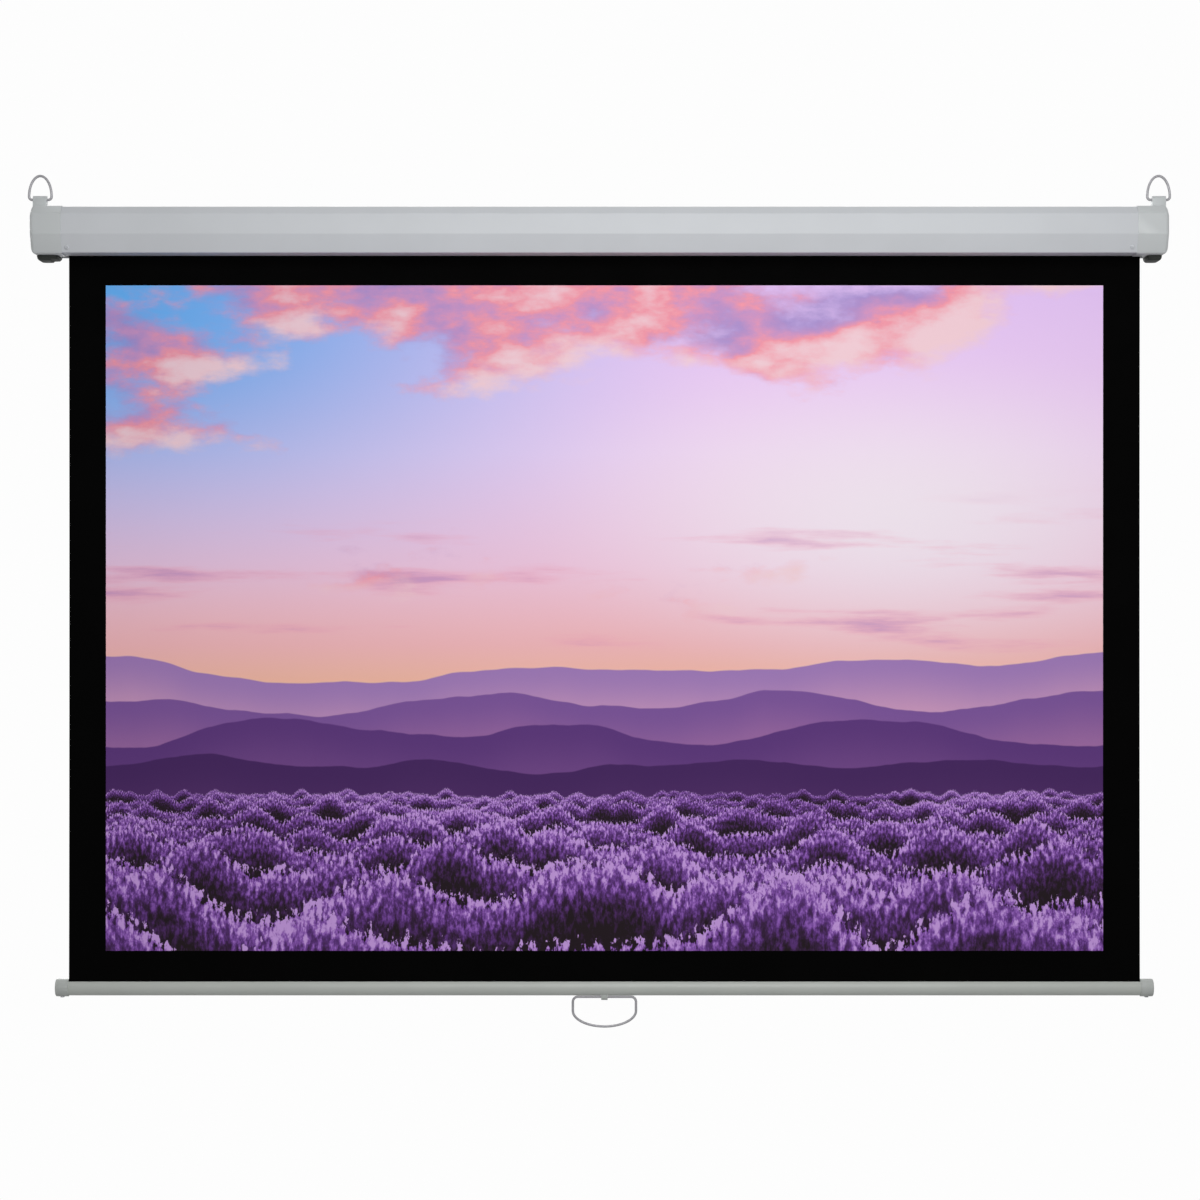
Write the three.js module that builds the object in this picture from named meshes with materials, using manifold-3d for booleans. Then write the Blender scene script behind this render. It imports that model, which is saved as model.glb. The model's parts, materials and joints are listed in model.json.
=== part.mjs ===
// Pull-down projection screen: a sprung roller inside a folded steel case that hangs from two wire rings.
// Millimetres, +Z up, the viewing side faces -Y. The origin lies midway between the two rings, at the
// crown of their wire, where the hooks bear. The screen is drawn fully down.
import * as THREE from "three";
import { mergeVertices } from "three/addons/utils/BufferGeometryUtils.js";
import Module from "manifold-3d";

const wasm = await Module();
wasm.setup();

// Clearances shared by all pieces
const fitGap = 0.3;
const layerGap = 0.05;
const cutOverrun = 1;

// Facet counts
const bendSteps = 3;
const holeSides = 16;
const wireSides = 8;
const screwSides = 12;
const tubeSides = 40;
const barSides = 36;

// Case: folded steel sheet, open at a slot along its underside
const caseHeight = 64;
const caseDepth = 70;
const caseWall = 1;
const caseBendRadius = 3;
const frontFaceHeight = 28;
const topFacetDrop = 10.7;
const topFacetRun = 9;
const bottomFacetRun = 10;
const slotWidth = 15;
const slotLipHeight = 6;
const slotLipRadius = 1.2;

// End caps: moulded cups that sleeve over the case
const capEndWall = 7;
const capSkirtLength = 45;
const capSkirtWall = 1;
const capCrownLength = 7.5;
const capCrownInset = 16;
const capCrownBend = 1.5;
const capEdgeSteps = 7;
const capTongueLength = 63;
const capTongueWall = 2.5;
const tongueStartShare = 0.12;
const tongueEndShare = 0.8;
const capNotchLength = 16;
const capNotchMargin = 1.5;

// Ring bosses on top of the caps
const bossWidth = 19;
const bossDepth = 11;
const bossInset = 9.5;
const bossPivotHeight = 13.2;
const bossFlare = 4;
const bossFlareHeight = 5;
const bossRootDepth = 16;
const bossSteps = 10;

// Hanging rings: bent wire
const ringWire = 3.6;
const ringWidth = 35;
const ringHeight = 48.3;
const ringFootBend = 4.5;
const ringFootDepth = 7;
const ringSteps = 24;

// Rubber bumpers under the caps, which stop the bottom bar
const bumperLength = 21;
const bumperInset = 6.5;
const bumperStepLength = 9;
const bumperStepDrop = 1.8;
const bumperFront = 14;
const bumperBack = 24;
const bumperHeight = 6.5;
const bumperTaper = 2.5;
const bumperCornerRadius = 5;

// Roller brackets: steel plates behind the cap ends
const bracketThickness = 2;
const bracketRoom = 3.9;
const bracketWidth = 36;
const bracketHeight = 40;
const bracketCornerRadius = 4;
const bracketScrewSpacing = 28;

// Screws
const screwHeadRadius = 3;
const screwHeadHeight = 1.6;
const screwHeadFlatShare = 0.45;
const screwHeadTopShare = 0.55;
const screwShankRadius = 1.5;
const caseScrewInset = 52;
const caseScrewLength = 5;
const caseScrewFacetShare = 0.7;
const bracketScrewLength = 9;
const plugScrewLength = 5;
const plugScrewHeadHeight = 1.2;

// Roller: aluminium tube with a keyed groove
const rollerForward = 5;
const rollerRadius = 17;
const rollerWall = 1.5;
const rollerOverhang = 18;
const grooveRadius = 2.2;
const grooveMouth = 1.6;
const grooveLand = 0.8;
const grooveWall = 1;
const plugDepth = 20;
const plugFlange = 3;

// Ratchet head at the left end
const ratchetRimWall = 2;
const ratchetRimDepth = 5;
const ratchetDiscRadius = 6.5;
const ratchetDiscThickness = 4;
const ratchetNotchWidth = 4;
const ratchetNotchDepth = 2;
const headBoreLand = 0.5;
const tangThickness = 3;
const tangHeight = 10;
const shaftRadius = 4;
const shaftLength = 400;

// Pawls that drop into the ratchet disc
const pawlThickness = 3.4;
const pawlPivotSide = 9.5;
const pawlPivotRise = 6;
const pawlEyeRadius = 3;
const pawlReach = 13.2;
const pawlToothWidth = 2.5;
const pawlToothDepth = 2;
const pawlArmHeight = 2.2;
const pawlLift = 0.5;
const pawlWebDrop = 1.5;
const pawlPinRadius = 1.2;
const pawlPinSink = 2;

// Torsion spring on the fixed shaft
const springWire = 2.2;
const springRadius = 7.5;
const springLength = 300;
const springCoils = 48;
const springStepsPerCoil = 8;
const springSides = 5;
const springLeadCoils = 1;
const springSeatGap = 0.7;
const collarRadius = 9.5;
const collarLength = 10;
const collarStart = 30;
const anchorLength = 18;

// Idle pin at the right end
const idlePinRadius = 3;

// Screen cloth: coated cloth with a black back and a black printed border
const clothWidth = 1500;
const clothOffset = 7;
const sideBorder = 51.5;
const pictureHeight = 932;
const topBorder = 40.4;
const bottomBorder = 41;
const backingThickness = 0.2;
const whiteThickness = 0.3;
const printThickness = 0.15;
const woundTurns = 1.4;
const woundGap = 0.45;
const woundStepsPerTurn = 32;

// Splines: rods that hold the cloth in its grooves
const barSplineRadius = 1.7;

// Bottom bar: oval tube with a groove in its shoulder
const barHeight = 22;
const barDepth = 18;
const barWall = 1.2;
const barGrooveForward = 4;
const barGrooveRadius = 3;
const barGrooveWall = 0.9;
const barGrooveLand = 1;
const barGrooveMouth = 2.2;

// End plugs of the bottom bar
const barPlugLength = 18;
const barPlugWall = 1;
const barPlugEnd = 2.5;
const barPlugEdgeRadius = 2;
const barPlugEdgeSteps = 3;
const barPlugClothGap = 1;

// Pull handle and its clip
const handleWire = 3.5;
const handleWidth = 92;
const handleCorner = 7;
const handleSide = 14.5;
const handleBow = 20;
const handleCornerSteps = 5;
const handleBowSteps = 22;
const handleEndGap = 1;
const clipWidth = 9;
const clipWall = 2.4;
const clipBarb = 1.2;
const clipReach = 6.8;
const clipBarbHeight = 1.6;
const clipSteps = 8;

// Heights and depths that follow from the sizes above, measured from the middle of the case's section
const caseTop = caseHeight / 2;
const caseBottom = -caseHeight / 2;
const caseBack = caseDepth / 2;
const rollerEnd = clothWidth / 2 + rollerOverhang;
const headEnd = rollerEnd + fitGap + plugFlange + ratchetRimDepth;
const bracketInner = headEnd + bracketRoom;
const shellEnd = bracketInner + bracketThickness;
const capEnd = shellEnd + fitGap + capEndWall;
const capOutset = fitGap + capSkirtWall;
const capBottom = caseBottom - capOutset;
const rollerY = -rollerForward;
const rollerInner = rollerRadius - rollerWall;
const clothThickness = printThickness + whiteThickness + backingThickness + 2 * layerGap;
const woundPitch = clothThickness + woundGap;
const woundStartRadius = rollerRadius + fitGap;
const clothFront = rollerY + woundStartRadius + woundPitch * woundTurns;
const clothMiddle = clothFront + clothThickness / 2;
const clothLeft = clothOffset - clothWidth / 2;
const clothRight = clothOffset + clothWidth / 2;
const pictureHalfWidth = clothWidth / 2 - sideBorder;
const pictureTop = caseBottom - topBorder;
const pictureBottom = pictureTop - pictureHeight;
const barTop = pictureBottom - bottomBorder;
const barCentre = barTop - barHeight / 2;
const barBottom = barTop - barHeight;
const barY = clothMiddle + barGrooveForward;
const barEndOverhang = barPlugClothGap + barPlugLength;
const barLength = clothWidth + 2 * (barEndOverhang - barPlugEnd - fitGap);
const barShoulder = barCentre + (barHeight / 2) * Math.sqrt(1 - (barGrooveForward / (barDepth / 2)) ** 2);
const barGrooveCentre = barShoulder - barGrooveLand - barGrooveRadius;
const clothBottom = barGrooveCentre + barSplineRadius + fitGap;
const handleAxis = barBottom - fitGap - handleWire / 2;
const ringAxis = caseTop + bossPivotHeight;
const ringX = capEnd - bossInset;
const hangLine = caseTop + ringHeight - ringWire;

// Finishes
const finish = (color, roughness, metalness) =>
  new THREE.MeshStandardMaterial({ color, roughness, metalness });
const casePaint = finish(0xd0d4d8, 0.45, 0.1);
const capPlastic = finish(0xc2c6c4, 0.5, 0);
const barPaint = finish(0xb4b8b4, 0.4, 0.3);
const zincWire = finish(0xa9aaac, 0.35, 0.9);
const steel = finish(0x9a9da1, 0.4, 0.9);
const aluminium = finish(0xb9bcc0, 0.45, 0.8);
const darkPlastic = finish(0x3a3b3d, 0.55, 0);
const blackRubber = finish(0x1c1e1c, 0.8, 0);
const whiteVinyl = finish(0xeeeeec, 0.85, 0);
const blackVinyl = finish(0x08080a, 0.85, 0);

// Solids and geometries

/** A closed geometry as a manifold solid. */
function solidOf(geometry) {
  const bare = new THREE.BufferGeometry();
  const source = geometry.index ? geometry.toNonIndexed() : geometry;
  bare.setAttribute("position", source.getAttribute("position"));
  const merged = mergeVertices(bare, 1e-4);
  return new wasm.Manifold(
    new wasm.Mesh({
      numProp: 3,
      vertProperties: new Float32Array(merged.getAttribute("position").array),
      triVerts: new Uint32Array(merged.index.array),
    }),
  );
}

/** A manifold solid as a three.js geometry. */
function geometryOf(solid) {
  const mesh = solid.getMesh();
  const positions = new Float32Array(mesh.numVert * 3);
  for (let i = 0; i < mesh.numVert; i++) {
    positions.set(mesh.vertProperties.subarray(i * mesh.numProp, i * mesh.numProp + 3), i * 3);
  }
  const indexed = new THREE.BufferGeometry();
  indexed.setAttribute("position", new THREE.BufferAttribute(positions, 3));
  indexed.setIndex(new THREE.BufferAttribute(new Uint32Array(mesh.triVerts), 1));
  const geometry = indexed.toNonIndexed();
  geometry.computeVertexNormals();
  return geometry;
}

/** A named piece. */
function piece(name, shape, material) {
  const mesh = new THREE.Mesh(shape.isBufferGeometry ? shape : geometryOf(shape), material);
  mesh.name = name;
  return mesh;
}

const point = (y, z) => new THREE.Vector2(y, z);

/** An outline of depth and height, pushed along the length from one place to another. */
function extrudeAlong(outline, from, to, holes = []) {
  const shape = new THREE.Shape(outline);
  shape.holes = holes.map((hole) => new THREE.Path(hole));
  const geometry = new THREE.ExtrudeGeometry(shape, { depth: to - from, bevelEnabled: false });
  const lengthwise = new THREE.Matrix4().makeBasis(
    new THREE.Vector3(0, 1, 0),
    new THREE.Vector3(0, 0, 1),
    new THREE.Vector3(1, 0, 0),
  );
  return geometry.applyMatrix4(lengthwise).translate(from, 0, 0);
}

/** A box from its lowest corner to its highest. */
function boxBetween(low, high) {
  const size = high.map((value, i) => value - low[i]);
  return new THREE.BoxGeometry(...size).translate(...low.map((value, i) => value + size[i] / 2));
}

/** A round bar along the length. */
function roundBar(radius, from, to, y, z, sides = tubeSides) {
  return new THREE.CylinderGeometry(radius, radius, to - from, sides)
    .rotateZ(-Math.PI / 2)
    .translate((from + to) / 2, y, z);
}

/** A slim round bar along the length as a solid, for holes, pins and rods, centred on a point. */
function rod(radius, from, to, at) {
  return solidOf(roundBar(radius, from, to, at.x, at.y, holeSides));
}

/** A loft through outlines that all have as many points, along X or along Z. */
function loft(sections, alongZ = false) {
  const count = sections[0].outline.length;
  const positions = [];
  for (const { at, outline } of sections) {
    for (const p of outline) positions.push(...(alongZ ? [p.x, p.y, at] : [at, p.x, p.y]));
  }
  const index = [];
  for (let s = 0; s + 1 < sections.length; s++) {
    for (let i = 0; i < count; i++) {
      const j = (i + 1) % count;
      const [a, b, c, d] = [s * count + i, s * count + j, (s + 1) * count + j, (s + 1) * count + i];
      index.push(a, b, c, a, c, d);
    }
  }
  const last = (sections.length - 1) * count;
  for (const [a, b, c] of THREE.ShapeUtils.triangulateShape(sections[0].outline, [])) index.push(a, c, b);
  for (const [a, b, c] of THREE.ShapeUtils.triangulateShape(sections.at(-1).outline, [])) {
    index.push(last + a, last + b, last + c);
  }
  const geometry = new THREE.BufferGeometry();
  geometry.setAttribute("position", new THREE.Float32BufferAttribute(positions, 3));
  geometry.setIndex(index);
  return geometry.toNonIndexed();
}

/** A wire along a line of points. sideways(i) is the direction that its first side faces at point i. */
function wireAlong(points, radius, sides, sideways) {
  const positions = [];
  const index = [];
  points.forEach((centre, i) => {
    const before = points[Math.max(i - 1, 0)];
    const after = points[Math.min(i + 1, points.length - 1)];
    const along = new THREE.Vector3().subVectors(after, before).normalize();
    const first = sideways(i).clone().addScaledVector(along, -sideways(i).dot(along)).normalize();
    const second = new THREE.Vector3().crossVectors(along, first);
    for (let k = 0; k < sides; k++) {
      const turn = (2 * Math.PI * k) / sides;
      const rim = centre.clone();
      rim.addScaledVector(first, radius * Math.cos(turn)).addScaledVector(second, radius * Math.sin(turn));
      positions.push(rim.x, rim.y, rim.z);
    }
  });
  for (let i = 0; i + 1 < points.length; i++) {
    for (let k = 0; k < sides; k++) {
      const n = (k + 1) % sides;
      const [a, b, c, d] = [i * sides + k, i * sides + n, (i + 1) * sides + n, (i + 1) * sides + k];
      index.push(a, b, c, a, c, d);
    }
  }
  const last = (points.length - 1) * sides;
  for (let k = 1; k + 1 < sides; k++) index.push(0, k + 1, k, last, last + k, last + k + 1);
  const geometry = new THREE.BufferGeometry();
  geometry.setAttribute("position", new THREE.Float32BufferAttribute(positions, 3));
  geometry.setIndex(index);
  return geometry.toNonIndexed();
}

/** A turned piece about an axis along the length, from a profile of [radius, place along X]. */
function turned(profile, sides) {
  return new THREE.LatheGeometry(profile.map(([radius, along]) => point(radius, along)), sides).rotateZ(
    -Math.PI / 2,
  );
}

// Outlines

/** The polyline's corners moved to the left of its direction by a distance, with mitred corners. */
function moveLeft(corners, distance, closed) {
  const count = corners.length;
  const edge = (i) => {
    const a = corners[i % count];
    const b = corners[(i + 1) % count];
    const direction = point(b.x - a.x, b.y - a.y).normalize();
    return { a, direction, left: point(-direction.y, direction.x) };
  };
  return corners.map((corner, i) => {
    const first = closed || i > 0 ? edge((i + count - 1) % count) : edge(i);
    const second = closed || i + 1 < count ? edge(i) : first;
    const middle = first.left.clone().add(second.left);
    const reach = (2 * distance) / middle.lengthSq();
    return Object.assign(corner.clone().addScaledVector(middle, reach), { bend: corner.bend });
  });
}

/** A polyline with each corner rounded by its own bend radius plus extra, as far as its edges allow. */
function rounded(corners, extra, closed) {
  const count = corners.length;
  const points = [];
  corners.forEach((corner, i) => {
    if (!closed && (i === 0 || i === count - 1)) {
      points.push(corner.clone());
      return;
    }
    const before = corners[(i + count - 1) % count];
    const after = corners[(i + 1) % count];
    const inward = before.clone().sub(corner);
    const outward = after.clone().sub(corner);
    const room = Math.min(inward.length(), outward.length()) / 2;
    inward.normalize();
    outward.normalize();
    const half = Math.acos(THREE.MathUtils.clamp(inward.dot(outward), -1, 1)) / 2;
    const reach = Math.min(Math.max(corner.bend + extra, 0) / Math.tan(half), room);
    const bisector = inward.clone().add(outward).normalize();
    const centre = corner.clone().addScaledVector(bisector, reach / Math.cos(half));
    const start = corner.clone().addScaledVector(inward, reach).sub(centre);
    const end = corner.clone().addScaledVector(outward, reach).sub(centre);
    const sweep = Math.atan2(start.cross(end), start.dot(end));
    for (let k = 0; k <= bendSteps; k++) {
      points.push(start.clone().rotateAround(point(0, 0), (sweep * k) / bendSteps).add(centre));
    }
  });
  return points;
}

const corner = (y, z, bend) => Object.assign(point(y, z), { bend });

/** The eight corners of the case's section, anticlockwise seen from the right end. */
function caseCorners() {
  const creaseTop = caseTop - topFacetDrop;
  const creaseBottom = creaseTop - frontFaceHeight;
  const flatTop = caseBack - topFacetRun;
  const flatBottom = caseBack - bottomFacetRun;
  const half = [
    [flatBottom, caseBottom],
    [caseBack, creaseBottom],
    [caseBack, creaseTop],
    [flatTop, caseTop],
  ];
  const mirrored = half.map(([y, z]) => [-y, z]).reverse();
  return [...half, ...mirrored].map(([y, z]) => corner(y, z, caseBendRadius));
}

/** The closed outline of the case's section, moved outwards by outset, its bends no tighter than least. */
function caseOutline(outset, least = 0) {
  const extra = Math.max(outset, least - caseBendRadius);
  return rounded(moveLeft(caseCorners(), -outset, true), extra, true);
}

const regularOutline = (radius, sides, y, z) =>
  Array.from({ length: sides }, (_, i) => {
    const turn = (2 * Math.PI * (i + 0.5)) / sides;
    return point(y + radius * Math.cos(turn), z + radius * Math.sin(turn));
  });

/** An upright oval about the bar's centre. */
const barOval = (outset) =>
  Array.from({ length: barSides }, (_, i) => {
    const turn = (2 * Math.PI * i) / barSides;
    const y = barY + (barDepth / 2 + outset) * Math.cos(turn);
    return point(y, barCentre + (barHeight / 2 + outset) * Math.sin(turn));
  });

/** A rectangle with round corners, given by its lowest and highest corner. */
function roundedRectangle(low, high, radius) {
  const corners = [
    [low[0], low[1]],
    [high[0], low[1]],
    [high[0], high[1]],
    [low[0], high[1]],
  ];
  return rounded(corners.map(([u, v]) => corner(u, v, radius)), 0, true);
}

// Case

/** A point on a lower facet at a share of its width from the crease, with the facet's outward direction. */
function lowerFacet(share, front) {
  const [flat, crease] = caseCorners();
  const place = crease.clone().lerp(flat, share);
  const along = flat.clone().sub(crease).normalize();
  const side = front ? -1 : 1;
  return {
    place: new THREE.Vector3(0, side * place.x, place.y),
    outward: new THREE.Vector3(0, side * -along.y, along.x),
  };
}

/** A screw along +X, its head above zero and its shank below. */
function screw(shankLength, headHeight) {
  return turned(
    [
      [0, -shankLength],
      [screwShankRadius, -shankLength],
      [screwShankRadius, 0],
      [screwHeadRadius, 0],
      [screwHeadRadius, headHeight * screwHeadFlatShare],
      [screwHeadRadius * screwHeadTopShare, headHeight],
      [0, headHeight],
    ],
    screwSides,
  );
}

/** Turns a piece from +X to a direction and puts it at a place. */
function aim(object, direction, place) {
  object.quaternion.setFromUnitVectors(new THREE.Vector3(1, 0, 0), direction);
  object.position.copy(place);
  return object;
}

/** A round cutter along a direction through a place, long enough for one wall and one tongue. */
function screwHole(direction, place) {
  const reach = caseWall + capTongueWall + 2 * fitGap + cutOverrun;
  const cutter = new THREE.Object3D();
  aim(cutter, direction, place);
  cutter.updateMatrix();
  const shaft = roundBar(screwShankRadius + fitGap, -reach, reach, 0, 0, holeSides);
  return solidOf(shaft.applyMatrix4(cutter.matrix));
}

/** The places of the two screws, front and back, that fasten the case to one of its caps. */
const caseScrewPlaces = (end) =>
  [true, false].map((front) => {
    const { place, outward } = lowerFacet(caseScrewFacetShare, front);
    return { front, outward, place: place.setX(end * (capEnd - caseScrewInset)) };
  });

/** The folded shell: one strip of sheet with its two edges turned up beside the slot. */
function caseShell() {
  const [flatBack, ...rest] = caseCorners();
  const slotBack = clothMiddle + slotWidth / 2;
  const slotFront = clothMiddle - slotWidth / 2;
  const strip = [
    corner(slotBack, caseBottom + slotLipHeight, 0),
    corner(slotBack, caseBottom, slotLipRadius),
    flatBack,
    ...rest,
    corner(slotFront, caseBottom, slotLipRadius),
    corner(slotFront, caseBottom + slotLipHeight, 0),
  ];
  const outside = rounded(strip, 0, false);
  const inside = rounded(moveLeft(strip, caseWall, false), -caseWall, false);
  let shell = solidOf(extrudeAlong([...outside, ...inside.reverse()], -shellEnd, shellEnd));
  for (const { outward, place } of [...caseScrewPlaces(-1), ...caseScrewPlaces(1)]) {
    shell = shell.subtract(screwHole(outward, place));
  }
  return piece("case_shell", shell, casePaint);
}

// End cap, drawn for the left end

/** The cup of the cap: a crowned end wall and a skirt. */
function capCup() {
  const sections = [];
  for (let k = 0; k <= capEdgeSteps; k++) {
    const turn = (Math.PI / 2) * (k / capEdgeSteps);
    const inset = capCrownInset * (1 - Math.sin(turn));
    const at = -capEnd + capCrownLength * (1 - Math.cos(turn));
    sections.push({ at, outline: caseOutline(capOutset - inset, capCrownBend) });
  }
  sections.push({ at: -capEnd + capSkirtLength, outline: caseOutline(capOutset) });
  const mouth = -capEnd + capSkirtLength + cutOverrun;
  const cavity = extrudeAlong(caseOutline(fitGap), -capEnd + capEndWall, mouth);
  return solidOf(loft(sections)).subtract(solidOf(cavity));
}

/** A tongue of the cap that lies inside the case along one lower facet and takes its screw. */
function capTongue(front) {
  const outer = caseWall + fitGap;
  const inner = outer + capTongueWall;
  const corners = [
    [tongueStartShare, outer],
    [tongueEndShare, outer],
    [tongueEndShare, inner],
    [tongueStartShare, inner],
  ];
  const outline = corners.map(([share, depth]) => {
    const { place, outward } = lowerFacet(share, front);
    place.addScaledVector(outward, -depth);
    return point(place.y, place.z);
  });
  return solidOf(extrudeAlong(outline, -capEnd + capEndWall / 2, -capEnd + capTongueLength));
}

/** The boss that the ring's feet turn in. It stands at the cap's end and flares towards the case. */
function ringBoss() {
  const radius = bossDepth / 2;
  const root = caseTop;
  const arch = Array.from({ length: bossSteps + 1 }, (_, i) => {
    const turn = (Math.PI * i) / bossSteps;
    return point(radius * Math.cos(turn), ringAxis + radius * Math.sin(turn));
  });
  const profile = (bottom) => [point(-radius, bottom), point(radius, bottom), ...arch];
  const outerSide = -ringX - bossWidth / 2;
  const deep = extrudeAlong(profile(root - bossRootDepth), outerSide, -capEnd + capEndWall);
  const post = solidOf(extrudeAlong(profile(root), outerSide, -ringX + bossWidth / 2)).add(solidOf(deep));
  const base = (flare) => {
    const halfDepth = radius + flare / 2;
    const inner = -ringX + bossWidth / 2 + flare;
    return roundedRectangle([-capEnd + capEndWall, -halfDepth], [inner, halfDepth], radius / 2);
  };
  const foot = loft(
    [
      { at: root, outline: base(bossFlare) },
      { at: root + capOutset, outline: base(bossFlare) },
      { at: root + capOutset + bossFlareHeight, outline: base(0) },
    ],
    true,
  );
  return post.add(solidOf(foot));
}

/** A box cutter that opens the skirt's underside, so that the cloth can run on beneath the cap. */
function clothNotch() {
  const half = slotWidth / 2 + capNotchMargin;
  return boxBetween(
    [-capEnd + capSkirtLength - capNotchLength, clothMiddle - half, capBottom - cutOverrun],
    [-capEnd + capSkirtLength + cutOverrun, clothMiddle + half, caseBottom + slotLipRadius],
  );
}

/** Countersinks and holes in the end wall for the screws that hold the roller bracket. */
function bracketScrewCut(z) {
  const at = point(rollerY, z);
  const sink = rod(screwHeadRadius + fitGap, -capEnd - cutOverrun, -capEnd + screwHeadHeight, at);
  return sink.add(rod(screwShankRadius + fitGap, -capEnd, -shellEnd + cutOverrun, at));
}

const bracketScrewHeights = [bracketScrewSpacing / 2, -bracketScrewSpacing / 2];

function endCap(name) {
  let cap = capCup().add(capTongue(true)).add(capTongue(false)).add(ringBoss());
  const bore = rod(ringWire / 2 + fitGap, -ringX - bossWidth, -ringX + bossWidth, point(0, ringAxis));
  cap = cap.subtract(bore).subtract(solidOf(clothNotch()));
  for (const z of bracketScrewHeights) cap = cap.subtract(bracketScrewCut(z));
  for (const { outward, place } of caseScrewPlaces(-1)) cap = cap.subtract(screwHole(outward, place));
  return piece(name, cap, capPlastic);
}

/** The centre line of a hanging ring, from one foot in the boss over the crown to the other. */
function ringLine() {
  const halfWidth = (ringWidth - ringWire) / 2;
  const rise = hangLine + ringWire / 2 - ringAxis - ringFootBend;
  const footStart = bossWidth / 2 - ringFootDepth;
  const half = [];
  half.push([footStart, 0]);
  for (let k = 0; k < bendSteps; k++) {
    const turn = (Math.PI / 2) * (k / bendSteps);
    const out = halfWidth - ringFootBend * (1 - Math.sin(turn));
    half.push([out, ringFootBend * (1 - Math.cos(turn))]);
  }
  for (let k = 0; k <= ringSteps / 2; k++) {
    const turn = Math.PI * (k / ringSteps);
    half.push([halfWidth * Math.cos(turn), ringFootBend + rise * Math.sin(turn)]);
  }
  const mirrored = half.slice(0, -1).map(([x, z]) => [-x, z]).reverse();
  return [...half, ...mirrored].map(([x, z]) => new THREE.Vector3(x, 0, z));
}

function hangingRing(name) {
  const wire = wireAlong(ringLine(), ringWire / 2, wireSides, () => new THREE.Vector3(0, 1, 0));
  const ring = piece(name, wire, zincWire);
  ring.position.set(-ringX, 0, ringAxis);
  return ring;
}

/** A tapered pad under the cap, as long and as high as asked. */
function bumperPad(length, height) {
  const top = capBottom - fitGap;
  const outline = (inset) => {
    const start = -capEnd + bumperInset;
    return roundedRectangle(
      [start + inset, -bumperFront + inset],
      [start + length - inset, bumperBack - inset],
      bumperCornerRadius,
    );
  };
  const sections = [
    { at: top - height, outline: outline(bumperTaper) },
    { at: top - height + bumperTaper, outline: outline(bumperTaper / 4) },
    { at: top, outline: outline(0) },
  ];
  return solidOf(loft(sections, true));
}

/** A bumper. A step at its inner end reaches on to where the bar's plug comes up. */
function bumper(name, step) {
  let pad = bumperPad(bumperLength, bumperHeight);
  if (step > 0) pad = pad.add(bumperPad(bumperLength + step, bumperHeight - bumperStepDrop));
  return piece(name, pad, blackRubber);
}

/** A hole through a roller bracket at a height. */
const bracketHole = (radius, z) =>
  rod(radius, -shellEnd - cutOverrun, -bracketInner + cutOverrun, point(rollerY, z));

/** The blank of a roller bracket with its two screw holes. */
function bracketBlank() {
  const plate = roundedRectangle(
    [rollerY - bracketWidth / 2, -bracketHeight / 2],
    [rollerY + bracketWidth / 2, bracketHeight / 2],
    bracketCornerRadius,
  );
  let blank = solidOf(extrudeAlong(plate, -shellEnd, -bracketInner));
  for (const z of bracketScrewHeights) {
    blank = blank.subtract(bracketHole(screwShankRadius + fitGap, z));
  }
  return blank;
}

/** The left bracket's slot is open at the side, and holds the flat tang of the shaft. */
function tangBracket() {
  const half = tangThickness / 2 + fitGap;
  const slot = boxBetween(
    [-shellEnd - cutOverrun, rollerY - bracketWidth, -half],
    [-bracketInner + cutOverrun, rollerY + tangHeight / 2 + fitGap, half],
  );
  return piece("left_bracket", bracketBlank().subtract(solidOf(slot)), steel);
}

function pinBracket() {
  const blank = bracketBlank().subtract(bracketHole(idlePinRadius + fitGap, 0));
  return piece("right_bracket", blank, steel);
}

/** What both ends have: cap, ring, bumper and screws, drawn for the left end. */
function endAssembly(side, bumperStep) {
  const end = new THREE.Group();
  end.add(endCap(`${side}_end_cap`), hangingRing(`${side}_hanging_ring`));
  end.add(bumper(`${side}_bumper`, bumperStep));
  const seat = -capEnd + screwHeadHeight;
  bracketScrewHeights.forEach((z, i) => {
    const name = `${side}_bracket_screw_${i ? "lower" : "upper"}`;
    const part = piece(name, screw(bracketScrewLength, screwHeadHeight - fitGap), steel);
    end.add(aim(part, new THREE.Vector3(-1, 0, 0), new THREE.Vector3(seat - fitGap, rollerY, z)));
  });
  for (const { front, outward, place } of caseScrewPlaces(-1)) {
    const name = `${side}_case_screw_${front ? "front" : "back"}`;
    const part = piece(name, screw(caseScrewLength, screwHeadHeight), casePaint);
    end.add(aim(part, outward, place.clone().addScaledVector(outward, fitGap)));
  }
  return end;
}

// Roller

/** Where the groove's mouth stands round the roller, in radians from the wall side over the top. */
const grooveTurn = (woundTurns % 1) * 2 * Math.PI;
const grooveCentreRadius = rollerRadius - grooveLand - grooveRadius;

const aroundRoller = (radius, turn) => point(rollerY + radius * Math.cos(turn), radius * Math.sin(turn));

const grooveCentre = () => aroundRoller(grooveCentreRadius, grooveTurn);

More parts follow.
